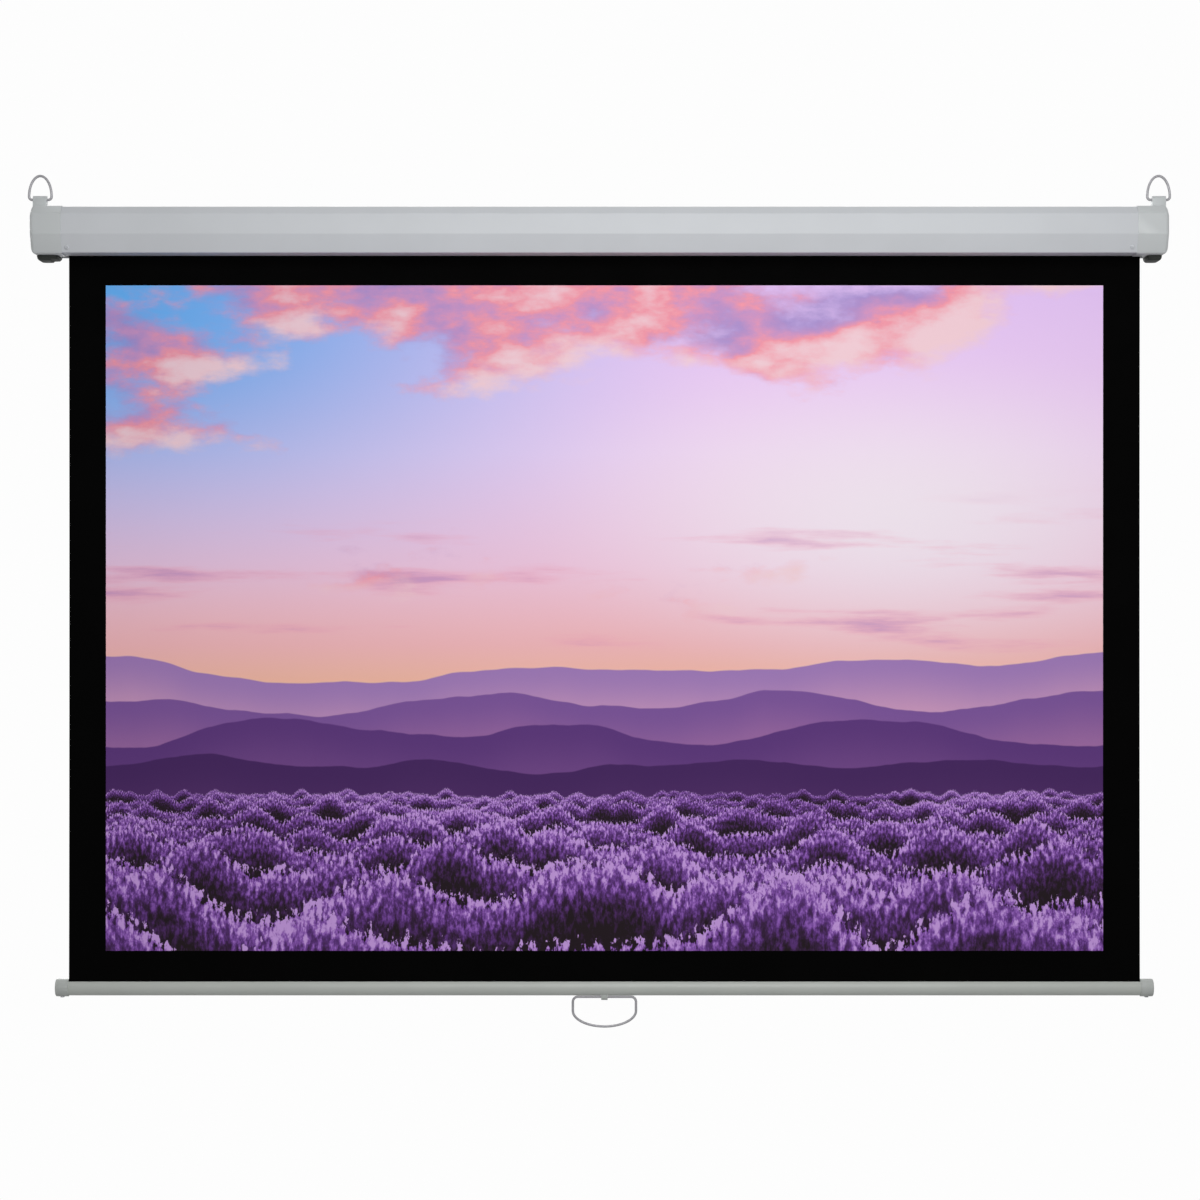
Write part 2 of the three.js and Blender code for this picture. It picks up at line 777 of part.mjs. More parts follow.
function rollerTube() {
  const groove = grooveCentre();
  const bar = (radius, overrun, at, sides) =>
    solidOf(roundBar(radius, -rollerEnd - overrun, rollerEnd + overrun, at.x, at.y, sides));
  const axis = point(rollerY, 0);
  const skin = bar(rollerRadius, 0, axis, tubeSides);
  const bore = bar(rollerInner, cutOverrun, axis, tubeSides);
  const housing = bar(grooveRadius + grooveWall, 0, groove, holeSides).intersect(skin);
  const mouthHalf = grooveMouth / 2;
  const mouth = [
    [grooveCentreRadius, -mouthHalf],
    [rollerRadius + cutOverrun, -mouthHalf],
    [rollerRadius + cutOverrun, mouthHalf],
    [grooveCentreRadius, mouthHalf],
  ].map(([out, side]) => {
    const across = aroundRoller(out, grooveTurn);
    return point(across.x - side * Math.sin(grooveTurn), across.y + side * Math.cos(grooveTurn));
  });
  const tube = skin
    .subtract(bore)
    .add(housing)
    .subtract(bar(grooveRadius, cutOverrun, groove, holeSides))
    .subtract(solidOf(extrudeAlong(mouth, -rollerEnd - cutOverrun, rollerEnd + cutOverrun)));
  return piece("roller_tube", tube, aluminium);
}

/** Cuts the tube's inner groove housing out of a plug that sits in its bore. */
function clearOfGroove(plug, from, to) {
  const radius = grooveRadius + grooveWall + fitGap;
  return plug.subtract(rod(radius, from - cutOverrun, to + cutOverrun, grooveCentre()));
}

/** The spline that grips the cloth in the roller's groove. */
function rollerSpline() {
  const spline = rod(grooveRadius - fitGap, clothLeft, clothRight, grooveCentre());
  return piece("roller_spline", spline, darkPlastic);
}

const flangeOuter = -rollerEnd - fitGap - plugFlange;
const rimOuter = -headEnd;

/** The ratchet head: a plug in the tube's left end, a flange, and a rim round the pawls. */
function rollerHead() {
  const bore = shaftRadius + fitGap;
  const rimInner = rollerRadius - ratchetRimWall;
  const plugRadius = rollerInner - fitGap;
  const flangeInner = flangeOuter + plugFlange;
  const head = turned(
    [
      [bore, flangeOuter],
      [rimInner, flangeOuter],
      [rimInner, rimOuter],
      [rollerRadius, rimOuter],
      [rollerRadius, flangeInner],
      [plugRadius, flangeInner],
      [plugRadius, flangeInner + plugDepth],
      [bore, flangeInner + plugDepth],
      [bore, flangeOuter],
    ],
    tubeSides,
  ).translate(0, rollerY, 0);
  let solid = solidOf(head);
  const sinkEnd = flangeOuter + pawlPinSink + fitGap;
  for (const place of pawlPivots()) {
    solid = solid.subtract(rod(pawlPinRadius + fitGap, flangeOuter - cutOverrun, sinkEnd, place));
  }
  solid = clearOfGroove(solid, flangeInner, flangeInner + plugDepth);
  return piece("ratchet_head", solid, darkPlastic);
}

/** The plain plug in the tube's right end. */
function rollerPlug() {
  const flangeStart = rollerEnd + fitGap;
  const flangeEnd = flangeStart + plugFlange;
  const start = flangeStart - plugDepth;
  const flange = solidOf(roundBar(rollerRadius, flangeStart, flangeEnd, rollerY, 0));
  const body = solidOf(roundBar(rollerInner - fitGap, start, flangeStart + plugFlange / 2, rollerY, 0));
  const bore = rod(idlePinRadius + fitGap, start - cutOverrun, flangeEnd + cutOverrun, point(rollerY, 0));
  const plug = clearOfGroove(body, start, rollerEnd).add(flange).subtract(bore);
  return piece("roller_plug", plug, darkPlastic);
}

function idlePin() {
  const start = rollerEnd + fitGap - plugDepth;
  return piece("idle_pin", rod(idlePinRadius, start, shellEnd - fitGap, point(rollerY, 0)), steel);
}

const discStart = flangeOuter - fitGap - ratchetDiscThickness;
const collarLeft = flangeOuter + collarStart;
const springLeft = collarLeft + collarLength + springSeatGap;
const anchorLeft = springLeft + springLength + springSeatGap;

/** The fixed shaft: a flat tang, a notched disc, a rod inside the roller and a collar for the spring. */
function tangShaft() {
  const round = (radius, from, to) => solidOf(roundBar(radius, from, to, rollerY, 0, holeSides * 2));
  const tang = boxBetween(
    [-shellEnd + fitGap, rollerY - tangHeight / 2, -tangThickness / 2],
    [discStart + ratchetDiscThickness / 2, rollerY + tangHeight / 2, tangThickness / 2],
  );
  let disc = round(ratchetDiscRadius, discStart, discStart + ratchetDiscThickness);
  const notch = boxBetween(
    [discStart - cutOverrun, -ratchetNotchWidth, ratchetDiscRadius - ratchetNotchDepth],
    [discStart + ratchetDiscThickness + cutOverrun, 0, ratchetDiscRadius + cutOverrun],
  );
  for (const turn of [0, Math.PI]) {
    disc = disc.subtract(solidOf(notch.clone().rotateX(turn).translate(0, rollerY, 0)));
  }
  const core = round(shaftRadius, discStart, discStart + shaftLength);
  const collar = round(collarRadius, collarLeft, collarLeft + collarLength);
  return piece("tang_shaft", disc.add(solidOf(tang)).add(core).add(collar), steel);
}

/** The spring's centre line: a helix whose two ends straighten out along the shaft. */
function springLine() {
  const leadSteps = springLeadCoils * springStepsPerCoil;
  const steps = (springCoils + springLeadCoils) * springStepsPerCoil;
  const line = [];
  for (let i = 0; i <= steps; i++) {
    const nearEnd = Math.min(i, steps - i);
    const lead = Math.min(nearEnd / leadSteps, 1);
    const lost = lead < 1 ? leadSteps * (lead - lead ** 2 / 2) : leadSteps / 2;
    const passed = i <= steps / 2 ? nearEnd - lost : steps - leadSteps - (nearEnd - lost);
    const turn = (2 * Math.PI * passed) / springStepsPerCoil;
    line.push({ along: springLeft + (springLength * i) / steps, turn });
  }
  return line;
}

function rollerSpring() {
  const line = springLine();
  const outwards = (i) => new THREE.Vector3(0, Math.cos(line[i].turn), Math.sin(line[i].turn));
  const points = line.map(({ along }, i) =>
    outwards(i).multiplyScalar(springRadius).add(new THREE.Vector3(along, rollerY, 0)),
  );
  let nearest = Infinity;
  for (let i = 0; i < points.length; i++) {
    for (let j = i + springStepsPerCoil / 2; j < points.length; j++) {
      nearest = Math.min(nearest, points[i].distanceTo(points[j]));
    }
  }
  console.log(`spring: least gap between its coils ${(nearest - springWire).toFixed(2)} mm`);
  return piece("roller_spring", wireAlong(points, springWire / 2, springSides, outwards), steel);
}

/** The plug inside the tube that the spring turns. */
function springAnchor() {
  const end = anchorLeft + anchorLength;
  const body = solidOf(roundBar(rollerInner - fitGap, anchorLeft, end, rollerY, 0));
  const bore = rod(shaftRadius + fitGap, anchorLeft - cutOverrun, end + cutOverrun, point(rollerY, 0));
  return piece("spring_anchor", clearOfGroove(body, anchorLeft, end).subtract(bore), darkPlastic);
}

// Pawls

function pawlPivots() {
  return [1, -1].map((side) => point(rollerY + side * pawlPivotSide, side * pawlPivotRise));
}

/** A pawl's outline about its pivot: an eye, and an arm over the disc with a tooth at its tip. */
function pawlOutline(side) {
  const toothTip = ratchetDiscRadius + pawlLift - pawlPivotRise;
  const toothRoot = toothTip + pawlToothDepth;
  const webTurn = Math.PI - Math.asin(pawlWebDrop / pawlEyeRadius);
  const sweep = 2 * Math.PI + Math.PI / 2 - webTurn;
  const outline = [];
  for (let k = 0; k <= bossSteps; k++) {
    const turn = webTurn + (sweep * k) / bossSteps;
    outline.push([pawlEyeRadius * Math.cos(turn), pawlEyeRadius * Math.sin(turn)]);
  }
  outline.push(
    [-pawlReach, toothRoot + pawlArmHeight],
    [-pawlReach, toothTip],
    [-pawlReach + pawlToothWidth, toothTip],
    [-pawlReach + pawlToothWidth, toothRoot],
  );
  return outline.map(([y, z]) => point(side * y, side * z));
}

function pawls() {
  const start = discStart + (ratchetDiscThickness - pawlThickness) / 2;
  const end = start + pawlThickness;
  return pawlPivots().flatMap((pivot, i) => {
    const name = i ? "lower" : "upper";
    const outline = pawlOutline(i ? -1 : 1).map((p) => p.add(pivot));
    const eye = rod(pawlPinRadius + fitGap, start - cutOverrun, end + cutOverrun, pivot);
    const pawl = solidOf(extrudeAlong(outline, start, end)).subtract(eye);
    const pin = rod(pawlPinRadius, discStart, flangeOuter + pawlPinSink, pivot);
    return [piece(`${name}_pawl`, pawl, steel), piece(`${name}_pawl_pin`, pin, steel)];
  });
}

// Cloth

/** The turns of cloth left on the roller: a spiral whose inner end dips into the groove. */
function woundCloth() {
  const steps = Math.round(woundTurns * woundStepsPerTurn);
  const end = woundTurns * 2 * Math.PI;
  const innerRadius = (turn) => woundStartRadius + (woundPitch * (end - turn)) / (2 * Math.PI);
  const tuckTurn = clothThickness / woundStartRadius;
  const tuckRadius = grooveCentreRadius + grooveRadius;
  const inside = [];
  const outside = [];
  for (let i = 0; i <= steps; i++) {
    const turn = ((end - tuckTurn / 2) * i) / steps;
    inside.push(aroundRoller(innerRadius(turn), turn));
    outside.push(aroundRoller(innerRadius(turn) + clothThickness, turn));
  }
  const tuck = [
    aroundRoller(tuckRadius, end - tuckTurn / 2),
    aroundRoller(tuckRadius, end + tuckTurn / 2),
    aroundRoller(woundStartRadius + clothThickness, end + tuckTurn / 2),
  ];
  const outline = [...inside, ...tuck, ...outside.reverse()];
  return piece("wound_cloth", extrudeAlong(outline, clothLeft, clothRight), blackVinyl);
}

/** A flat layer of the hanging cloth between two depths. */
const clothLayer = (front, back) =>
  boxBetween([clothLeft, front, clothBottom], [clothRight, back, -fitGap]);

/** The hanging cloth: the black print in front, the white sheet, and the black back. */
function hangingCloth() {
  const printBack = clothFront + printThickness;
  const whiteFront = printBack + layerGap;
  const whiteBack = whiteFront + whiteThickness;
  const backingFront = whiteBack + layerGap;
  const opening = boxBetween(
    [clothOffset - pictureHalfWidth, clothFront - cutOverrun, pictureBottom],
    [clothOffset + pictureHalfWidth, printBack + cutOverrun, pictureTop],
  );
  const print = solidOf(clothLayer(clothFront, printBack)).subtract(solidOf(opening));
  return [
    piece("black_border", print, blackVinyl),
    piece("white_screen", clothLayer(whiteFront, whiteBack), whiteVinyl),
    piece("black_backing", clothLayer(backingFront, backingFront + backingThickness), blackVinyl),
  ];
}

// Bottom bar

const barMiddle = clothOffset;

/** A solid run along the bar, with its overrun past both ends. */
const barRun = (outline, overrun) =>
  solidOf(extrudeAlong(outline, barMiddle - barLength / 2 - overrun, barMiddle + barLength / 2 + overrun));

const clipHalfDepth = handleWire / 2 + fitGap + clipWall;

function bottomBar() {
  const skin = barRun(barOval(0), 0);
  const channel = (radius) => regularOutline(radius, holeSides, clothMiddle, barGrooveCentre);
  const mouth = [
    point(clothMiddle - barGrooveMouth / 2, barGrooveCentre),
    point(clothMiddle + barGrooveMouth / 2, barGrooveCentre),
    point(clothMiddle + barGrooveMouth / 2, barTop + cutOverrun),
    point(clothMiddle - barGrooveMouth / 2, barTop + cutOverrun),
  ];
  const clipHole = boxBetween(
    [barMiddle - clipWidth / 2 - fitGap, barY - clipHalfDepth - fitGap, barBottom - cutOverrun],
    [barMiddle + clipWidth / 2 + fitGap, barY + clipHalfDepth + fitGap, barBottom + clipReach],
  );
  let bar = skin
    .subtract(barRun(barOval(-barWall), cutOverrun))
    .add(barRun(channel(barGrooveRadius + barGrooveWall), 0).intersect(skin))
    .subtract(barRun(channel(barGrooveRadius), cutOverrun))
    .subtract(barRun(mouth, cutOverrun))
    .subtract(solidOf(clipHole));
  for (const end of [-1, 1]) bar = bar.subtract(plugScrewHole(end));
  return piece("bottom_bar", bar, barPaint);
}

function barSpline() {
  const groove = point(clothMiddle, barGrooveCentre);
  return piece("bar_spline", rod(barSplineRadius, clothLeft, clothRight, groove), darkPlastic);
}

const plugOutset = fitGap + barPlugWall;
const plugScrewX = (end) => barMiddle + end * (clothWidth / 2 + barPlugClothGap + barPlugLength / 2);

function plugScrewHole(end) {
  const reach = barWall + barPlugWall + fitGap + cutOverrun;
  return solidOf(
    new THREE.CylinderGeometry(screwShankRadius + fitGap, screwShankRadius + fitGap, 2 * reach, holeSides)
      .rotateX(Math.PI / 2)
      .translate(plugScrewX(end), barY, barBottom),
  );
}

/** An end plug: a cup over the bar's end with a rounded edge. */
function barPlug(name, end) {
  const outer = clothWidth / 2 + barEndOverhang;
  const inner = outer - barPlugLength;
  const sections = [{ at: inner, outline: barOval(plugOutset) }];
  for (let k = 0; k <= barPlugEdgeSteps; k++) {
    const turn = (Math.PI / 2) * (k / barPlugEdgeSteps);
    const at = outer - barPlugEdgeRadius * (1 - Math.sin(turn));
    sections.push({ at, outline: barOval(plugOutset - barPlugEdgeRadius * (1 - Math.cos(turn))) });
  }
  const cavity = solidOf(extrudeAlong(barOval(fitGap), inner - cutOverrun, outer - barPlugEnd));
  let plug = solidOf(loft(sections)).subtract(cavity);
  if (end < 0) plug = solidOf(flipEnds(geometryOf(plug)));
  const placed = solidOf(geometryOf(plug).translate(barMiddle, 0, 0)).subtract(plugScrewHole(end));
  return piece(name, placed, capPlastic);
}

/** Mirrors a geometry end for end and turns its faces out again. */
function flipEnds(geometry) {
  const positions = geometry.getAttribute("position").array;
  const flipped = new Float32Array(positions.length);
  for (let i = 0; i < positions.length; i += 9) {
    [0, 2, 1].forEach((from, to) => {
      flipped[i + to * 3] = -positions[i + from * 3];
      flipped[i + to * 3 + 1] = positions[i + from * 3 + 1];
      flipped[i + to * 3 + 2] = positions[i + from * 3 + 2];
    });
  }
  return new THREE.BufferGeometry().setAttribute("position", new THREE.BufferAttribute(flipped, 3));
}

function plugScrew(name, end) {
  const part = piece(name, screw(plugScrewLength, plugScrewHeadHeight), steel);
  const seat = barBottom - plugOutset - fitGap;
  return aim(part, new THREE.Vector3(0, 0, -1), new THREE.Vector3(plugScrewX(end), barY, seat));
}

/** The clip under the bar: it grips the bar's wall from inside and holds the handle's two feet. */
function handleClip() {
  const half = clipHalfDepth;
  const shoulder = barBottom + clipReach;
  const round = Array.from({ length: clipSteps + 1 }, (_, i) => {
    const turn = Math.PI + (Math.PI * i) / clipSteps;
    return point(barY + half * Math.cos(turn), handleAxis + half * Math.sin(turn));
  });
  const outline = [
    ...round,
    point(barY + half, shoulder),
    point(barY + half + clipBarb, shoulder),
    point(barY + half, shoulder + clipBarbHeight),
    point(barY - half, shoulder + clipBarbHeight),
    point(barY - half - clipBarb, shoulder),
    point(barY - half, shoulder),
  ];
  const bore = regularOutline(handleWire / 2 + fitGap, holeSides, barY, handleAxis);
  const from = barMiddle - clipWidth / 2;
  return piece("handle_clip", extrudeAlong(outline, from, from + clipWidth, [bore]), capPlastic);
}

/** The handle's centre line: out of the clip, round a corner, down, and along a bowed grip. */
function handleLine() {
  const halfWidth = (handleWidth - handleWire) / 2;
  const half = [[handleEndGap / 2, 0]];
  for (let k = 0; k <= handleCornerSteps; k++) {
    const turn = (Math.PI / 2) * (k / handleCornerSteps);
    half.push([halfWidth - handleCorner * (1 - Math.sin(turn)), -handleCorner * (1 - Math.cos(turn))]);
  }
  for (let k = 0; k <= handleBowSteps / 2; k++) {
    const turn = Math.PI * (k / handleBowSteps);
    half.push([halfWidth * Math.cos(turn), -handleCorner - handleSide - handleBow * Math.sin(turn)]);
  }
  const mirrored = half.slice(0, -1).map(([x, z]) => [-x, z]).reverse();
  return [...half, ...mirrored].map(([x, z]) => new THREE.Vector3(x, 0, z));
}

function pullHandle() {
  const wire = wireAlong(handleLine(), handleWire / 2, wireSides, () => new THREE.Vector3(0, 1, 0));
  const handle = piece("pull_handle", wire, zincWire);
  handle.position.set(barMiddle, barY, handleAxis);
  return handle;
}

// Assembly

const leftEnd = endAssembly("left", bumperStepLength);
const rightEnd = endAssembly("right", 0);
rightEnd.scale.x = -1;
const rightBracket = new THREE.Group().add(pinBracket());
rightBracket.scale.x = -1;

const roller = new THREE.Group().add(
  rollerTube(),
  rollerHead(),
  rollerPlug(),
  idlePin(),
  springAnchor(),
  rollerSpline(),
  woundCloth(),
  ...pawls(),
);

const barAssembly = new THREE.Group().add(
  bottomBar(),
  barSpline(),
  barPlug("left_bar_plug", -1),
  barPlug("right_bar_plug", 1),
  plugScrew("left_plug_screw", -1),
  plugScrew("right_plug_screw", 1),
  handleClip(),
  pullHandle(),
);

const screen = new THREE.Group().add(
  caseShell(),
  leftEnd,
  rightEnd,
  tangBracket(),
  rightBracket,
  tangShaft(),
  rollerSpring(),
  roller,
  ...hangingCloth(),
  barAssembly,
);
screen.position.z = -hangLine;

export default new THREE.Group().add(screen);
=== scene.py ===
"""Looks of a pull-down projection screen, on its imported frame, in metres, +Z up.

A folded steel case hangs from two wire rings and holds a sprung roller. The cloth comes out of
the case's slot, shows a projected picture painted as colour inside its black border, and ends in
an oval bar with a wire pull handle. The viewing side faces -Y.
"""

import json
import logging
import math
from collections.abc import Sequence
from dataclasses import dataclass, replace
from enum import Enum
from functools import cache

import bmesh
import bpy
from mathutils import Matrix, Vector


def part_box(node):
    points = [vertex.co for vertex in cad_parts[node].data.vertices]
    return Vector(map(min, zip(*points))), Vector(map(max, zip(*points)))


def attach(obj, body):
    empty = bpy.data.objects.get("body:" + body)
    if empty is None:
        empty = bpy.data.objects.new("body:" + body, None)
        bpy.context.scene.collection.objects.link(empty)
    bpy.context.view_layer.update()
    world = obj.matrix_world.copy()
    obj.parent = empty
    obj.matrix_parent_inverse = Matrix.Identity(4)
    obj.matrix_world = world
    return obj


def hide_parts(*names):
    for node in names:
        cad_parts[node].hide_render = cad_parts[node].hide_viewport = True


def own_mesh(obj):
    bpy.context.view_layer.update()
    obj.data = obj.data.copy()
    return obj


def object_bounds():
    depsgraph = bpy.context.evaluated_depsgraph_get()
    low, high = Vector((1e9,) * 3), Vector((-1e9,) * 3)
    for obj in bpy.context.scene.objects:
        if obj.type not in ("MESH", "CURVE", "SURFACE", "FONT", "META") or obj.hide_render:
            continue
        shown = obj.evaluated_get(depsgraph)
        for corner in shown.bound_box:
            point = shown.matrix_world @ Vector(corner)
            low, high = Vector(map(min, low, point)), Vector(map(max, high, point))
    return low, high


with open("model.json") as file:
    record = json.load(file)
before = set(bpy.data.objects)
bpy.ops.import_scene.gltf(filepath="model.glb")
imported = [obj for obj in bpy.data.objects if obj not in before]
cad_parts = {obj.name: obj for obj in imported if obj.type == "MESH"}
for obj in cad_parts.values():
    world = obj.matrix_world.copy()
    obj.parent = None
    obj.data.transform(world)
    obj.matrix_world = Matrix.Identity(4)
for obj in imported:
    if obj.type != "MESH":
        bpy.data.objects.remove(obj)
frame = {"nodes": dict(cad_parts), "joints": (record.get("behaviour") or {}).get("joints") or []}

LOG = logging.getLogger("projection_screen")
CAD_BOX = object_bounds()
MERGE_DISTANCE = 1e-5
FACE_DEPTH = MERGE_DISTANCE * 5
CREASE_ANGLE = math.radians(32)
FLAT_ANGLE = math.radians(0.4)
CLOTH_MAP = "cloth"
# The values between which most of a noise lies, and nearly all of it.
NOISE_SPAN = (0.3, 0.7)
WIDE_NOISE_SPAN = (0.25, 0.75)
GLOSS_SWING = 0.12
OUTLINE_BLUR = 0.0012
WHITE_LIGHT = (1.0, 1.0, 1.0, 1.0)
# The Mix node's sockets for colours.
MIX_SHARE, MIX_LOW, MIX_HIGH, MIX_RESULT = 0, 6, 7, 2

Plug = bpy.types.NodeSocket
Value = float | str | Sequence[float] | Plug | bpy.types.ID
Corner = tuple[Vector, float]


class Slot(Enum):
    """The record's material slots that new pieces stand for; they are passed along but not used."""

    CASE = "case_paint"
    CAP = "cap_plastic"
    BAR = "bar_paint"
    WIRE = "zinc_wire"
    STEEL = "steel"
    RUBBER = "black_rubber"
    WHITE = "white_vinyl"
    BLACK = "black_vinyl"


class Grain(Enum):
    """How a surface's grain lies: even all round, or drawn out along the part."""

    EVEN = (1.0, 1.0, 1.0)
    DRAWN = (0.03, 1.0, 1.0)


@dataclass(frozen=True)
class Tone:
    """A colour as a display shows it, each part from 0 to 255."""

    red: float
    green: float
    blue: float

    def linear(self, share: float = 1.0) -> tuple[float, float, float, float]:
        """Turns the colour into linear light.

        Args:
            share: how much of its light is kept.

        Returns:
            Red, green, blue and a full alpha.
        """
        parts = [part / 255 for part in (self.red, self.green, self.blue)]
        light = [p / 12.92 if p <= 0.04045 else ((p + 0.055) / 1.055) ** 2.4 for p in parts]
        return (*(min(part * share, 1.0) for part in light), 1.0)


class NodeTree:
    """The wiring that shader and geometry trees share.

    Attributes:
        tree: the plain tree of nodes that is filled.
    """

    def __init__(self, tree: bpy.types.NodeTree) -> None:
        """Takes the tree to fill."""
        self.tree = tree

    def add(
        self, kind: str, inputs: dict[int | str, Value] | None = None, **settings: object
    ) -> bpy.types.Node:
        """Adds a node.

        Args:
            kind: the node's type.
            inputs: its sockets by name or place, each with a value or another node's socket.
            settings: its own properties.

        Returns:
            The new node.
        """
        node = self.tree.nodes.new(kind)
        for name, value in settings.items():
            setattr(node, name, value)
        for name, value in (inputs or {}).items():
            if isinstance(value, bpy.types.NodeSocket):
                self.tree.links.new(value, node.inputs[name])
            else:
                node.inputs[name].default_value = value
        return node

    def result(
        self, kind: str, inputs: dict[int | str, Value] | None = None, **settings: object
    ) -> Plug:
        """Adds a node as add does, and returns its first output."""
        return self.add(kind, inputs, **settings).outputs[0]

    def math(self, operation: str, *terms: Value) -> Plug:
        """Returns the result of one step of arithmetic, which is named as its node names it."""
        return self.result("ShaderNodeMath", dict(enumerate(terms)), operation=operation)


class ShaderTree(NodeTree):
    """A material under construction.

    Attributes:
        material: the material that the tree belongs to.
        surface: the shader that every colour, gloss and relief ends in.
    """

    def __init__(self, name: str) -> None:
        """Starts a material with a plain shader.

        Args:
            name: the material's name.
        """
        self.material = bpy.data.materials.new(name)
        self.material.use_nodes = True
        super().__init__(self.material.node_tree)
        self.surface = self.tree.nodes["Principled BSDF"]

    def body_place(self) -> Plug:
        """Returns the place on the piece, in the part's own metres."""
        return self.add("ShaderNodeTexCoord").outputs["Object"]

    def cloth_place(self) -> Plug:
        """Returns the place on the flat cloth, in metres from its lower left corner."""
        return self.result("ShaderNodeUVMap", uv_map=CLOTH_MAP)

    def scaled(
        self, place: Plug, scale: Sequence[float], shift: Sequence[float] = (0, 0, 0)
    ) -> Plug:
        """Returns a place whose parts are multiplied by the scale and then moved by the shift."""
        inputs = {"Vector": place, "Scale": tuple(scale), "Location": tuple(shift)}
        return self.result("ShaderNodeMapping", inputs)

    def noise(self, place: Plug, scale: float, detail: float = 3.0, rough: float = 0.5) -> Plug:
        """Returns noise about a half, with scale lumps to a unit and detail finer layers."""
        inputs = {"Vector": place, "Scale": scale, "Detail": detail, "Roughness": rough}
        return self.result("ShaderNodeTexNoise", inputs)

    def cells(self, place: Plug, scale: float) -> Plug:
        """Returns how far the nearest cell's middle is, with scale cells to a unit."""
        inputs = {"Vector": place, "Scale": scale}
        return self.add("ShaderNodeTexVoronoi", inputs).outputs["Distance"]

    def ease(
        self, value: Value, low: float, high: float, start: float = 0.0, end: float = 1.0
    ) -> Plug:
        """Returns what runs smoothly from start to end while value runs from low to high."""
        inputs = dict(enumerate((value, low, high, start, end)))
        return self.result("ShaderNodeMapRange", inputs, interpolation_type="SMOOTHSTEP")

    def mix(self, share: Value, low: Value, high: Value) -> Plug:
        """Returns a mix of two colours, in which the second one has the share."""
        inputs = {MIX_SHARE: share, MIX_LOW: low, MIX_HIGH: high}
        return self.add("ShaderNodeMix", inputs, data_type="RGBA").outputs[MIX_RESULT]

    def lay_over(self, below: Plug, behind: Plug, front: Plug) -> Plug:
        """Returns the colour behind, covered by the front one wherever below is more than 0."""
        return self.mix(self.ease(below, -OUTLINE_BLUR, OUTLINE_BLUR), behind, front)

    def own_line(self, across: Plug, row: float) -> Plug:
        """Returns a place that only runs across, in a row of the noise that nothing else reads."""
        return self.result("ShaderNodeCombineXYZ", {0: across, 1: row})

    def ramp(self, value: Plug, stops: Sequence[tuple[float, Tone]]) -> Plug:
        """Runs a value through a row of colours.

        Args:
            value: the value.
            stops: each colour with the value that it stands at.

        Returns:
            The colour.
        """
        node = self.add("ShaderNodeValToRGB", {"Fac": value})
        row = node.color_ramp.elements
        for _ in stops[2:]:
            row.new(0.5)
        for element, (position, tone) in zip(row, stops):
            element.position = position
            element.color = tone.linear()
        return node.outputs[0]

    def relief(self, height: Plug, depth: float) -> None:
        """Raises a grain of heights from 0 to 1 to the depth, in metres."""
        bump = self.add("ShaderNodeBump", {"Height": height, "Distance": depth})
        self.tree.links.new(bump.outputs[0], self.surface.inputs["Normal"])


@dataclass(frozen=True)
class Finish:
    """A finish with a fine grain and a slight drift in its colour.

    Attributes:
        name: the material's name.
        tone: its colour in plain light.
        roughness: its gloss, from 0 for a mirror to 1 for matt.
        metallic: 1 for bare metal.
        specular: how much light its clear surface throws back.
        grain: how its grain lies.
        grain_size: the width of the grain.
        grain_depth: the height of the grain.
        drift: the share by which the colour drifts from place to place.
        drift_size: how far apart these places are.
    """

    name: str
    tone: Tone
    roughness: float
    metallic: float = 0.0
    specular: float = 0.5
    grain: Grain = Grain.EVEN
    grain_size: float = 0.0012
    grain_depth: float = 0.00001
    drift: float = 0.02
    drift_size: float = 0.09

    def place(self, shader: ShaderTree) -> Plug:
        """Returns the place that the finish is read at."""
        return shader.body_place()

    def colour(self, shader: ShaderTree, place: Plug) -> Plug:
        """Returns the colour, which drifts a little about the finish's tone."""
        share = shader.ease(shader.noise(place, 1 / self.drift_size, detail=4), *NOISE_SPAN)
        return shader.mix(share, self.tone.linear(1 - self.drift), self.tone.linear(1 + self.drift))

    @cache
    def material(self) -> bpy.types.Material:
        """Builds the material once.

        Returns:
            The material, the same one at each call.
        """
        shader = ShaderTree(self.name)
        place = self.place(shader)
        shader.tree.links.new(self.colour(shader, place), shader.surface.inputs["Base Color"])
        fine = shader.scaled(place, [part / self.grain_size for part in self.grain.value])
        grain = shader.noise(fine, 1.0, detail=4, rough=0.6)
        smooth, dull = (self.roughness * (1 + swing) for swing in (-GLOSS_SWING, GLOSS_SWING))
        gloss = shader.ease(grain, *WIDE_NOISE_SPAN, smooth, min(dull, 1.0))
        shader.tree.links.new(gloss, shader.surface.inputs["Roughness"])
        shader.relief(grain, self.grain_depth)
        shader.surface.inputs["Metallic"].default_value = self.metallic
        shader.surface.inputs["Specular IOR Level"].default_value = self.specular
        return shader.material


@dataclass(frozen=True)
class ClothFinish(Finish):
    """A coated cloth, whose weave and colour follow the cloth itself."""

    def place(self, shader: ShaderTree) -> Plug:
        """Returns the place on the flat cloth."""
        return shader.cloth_place()


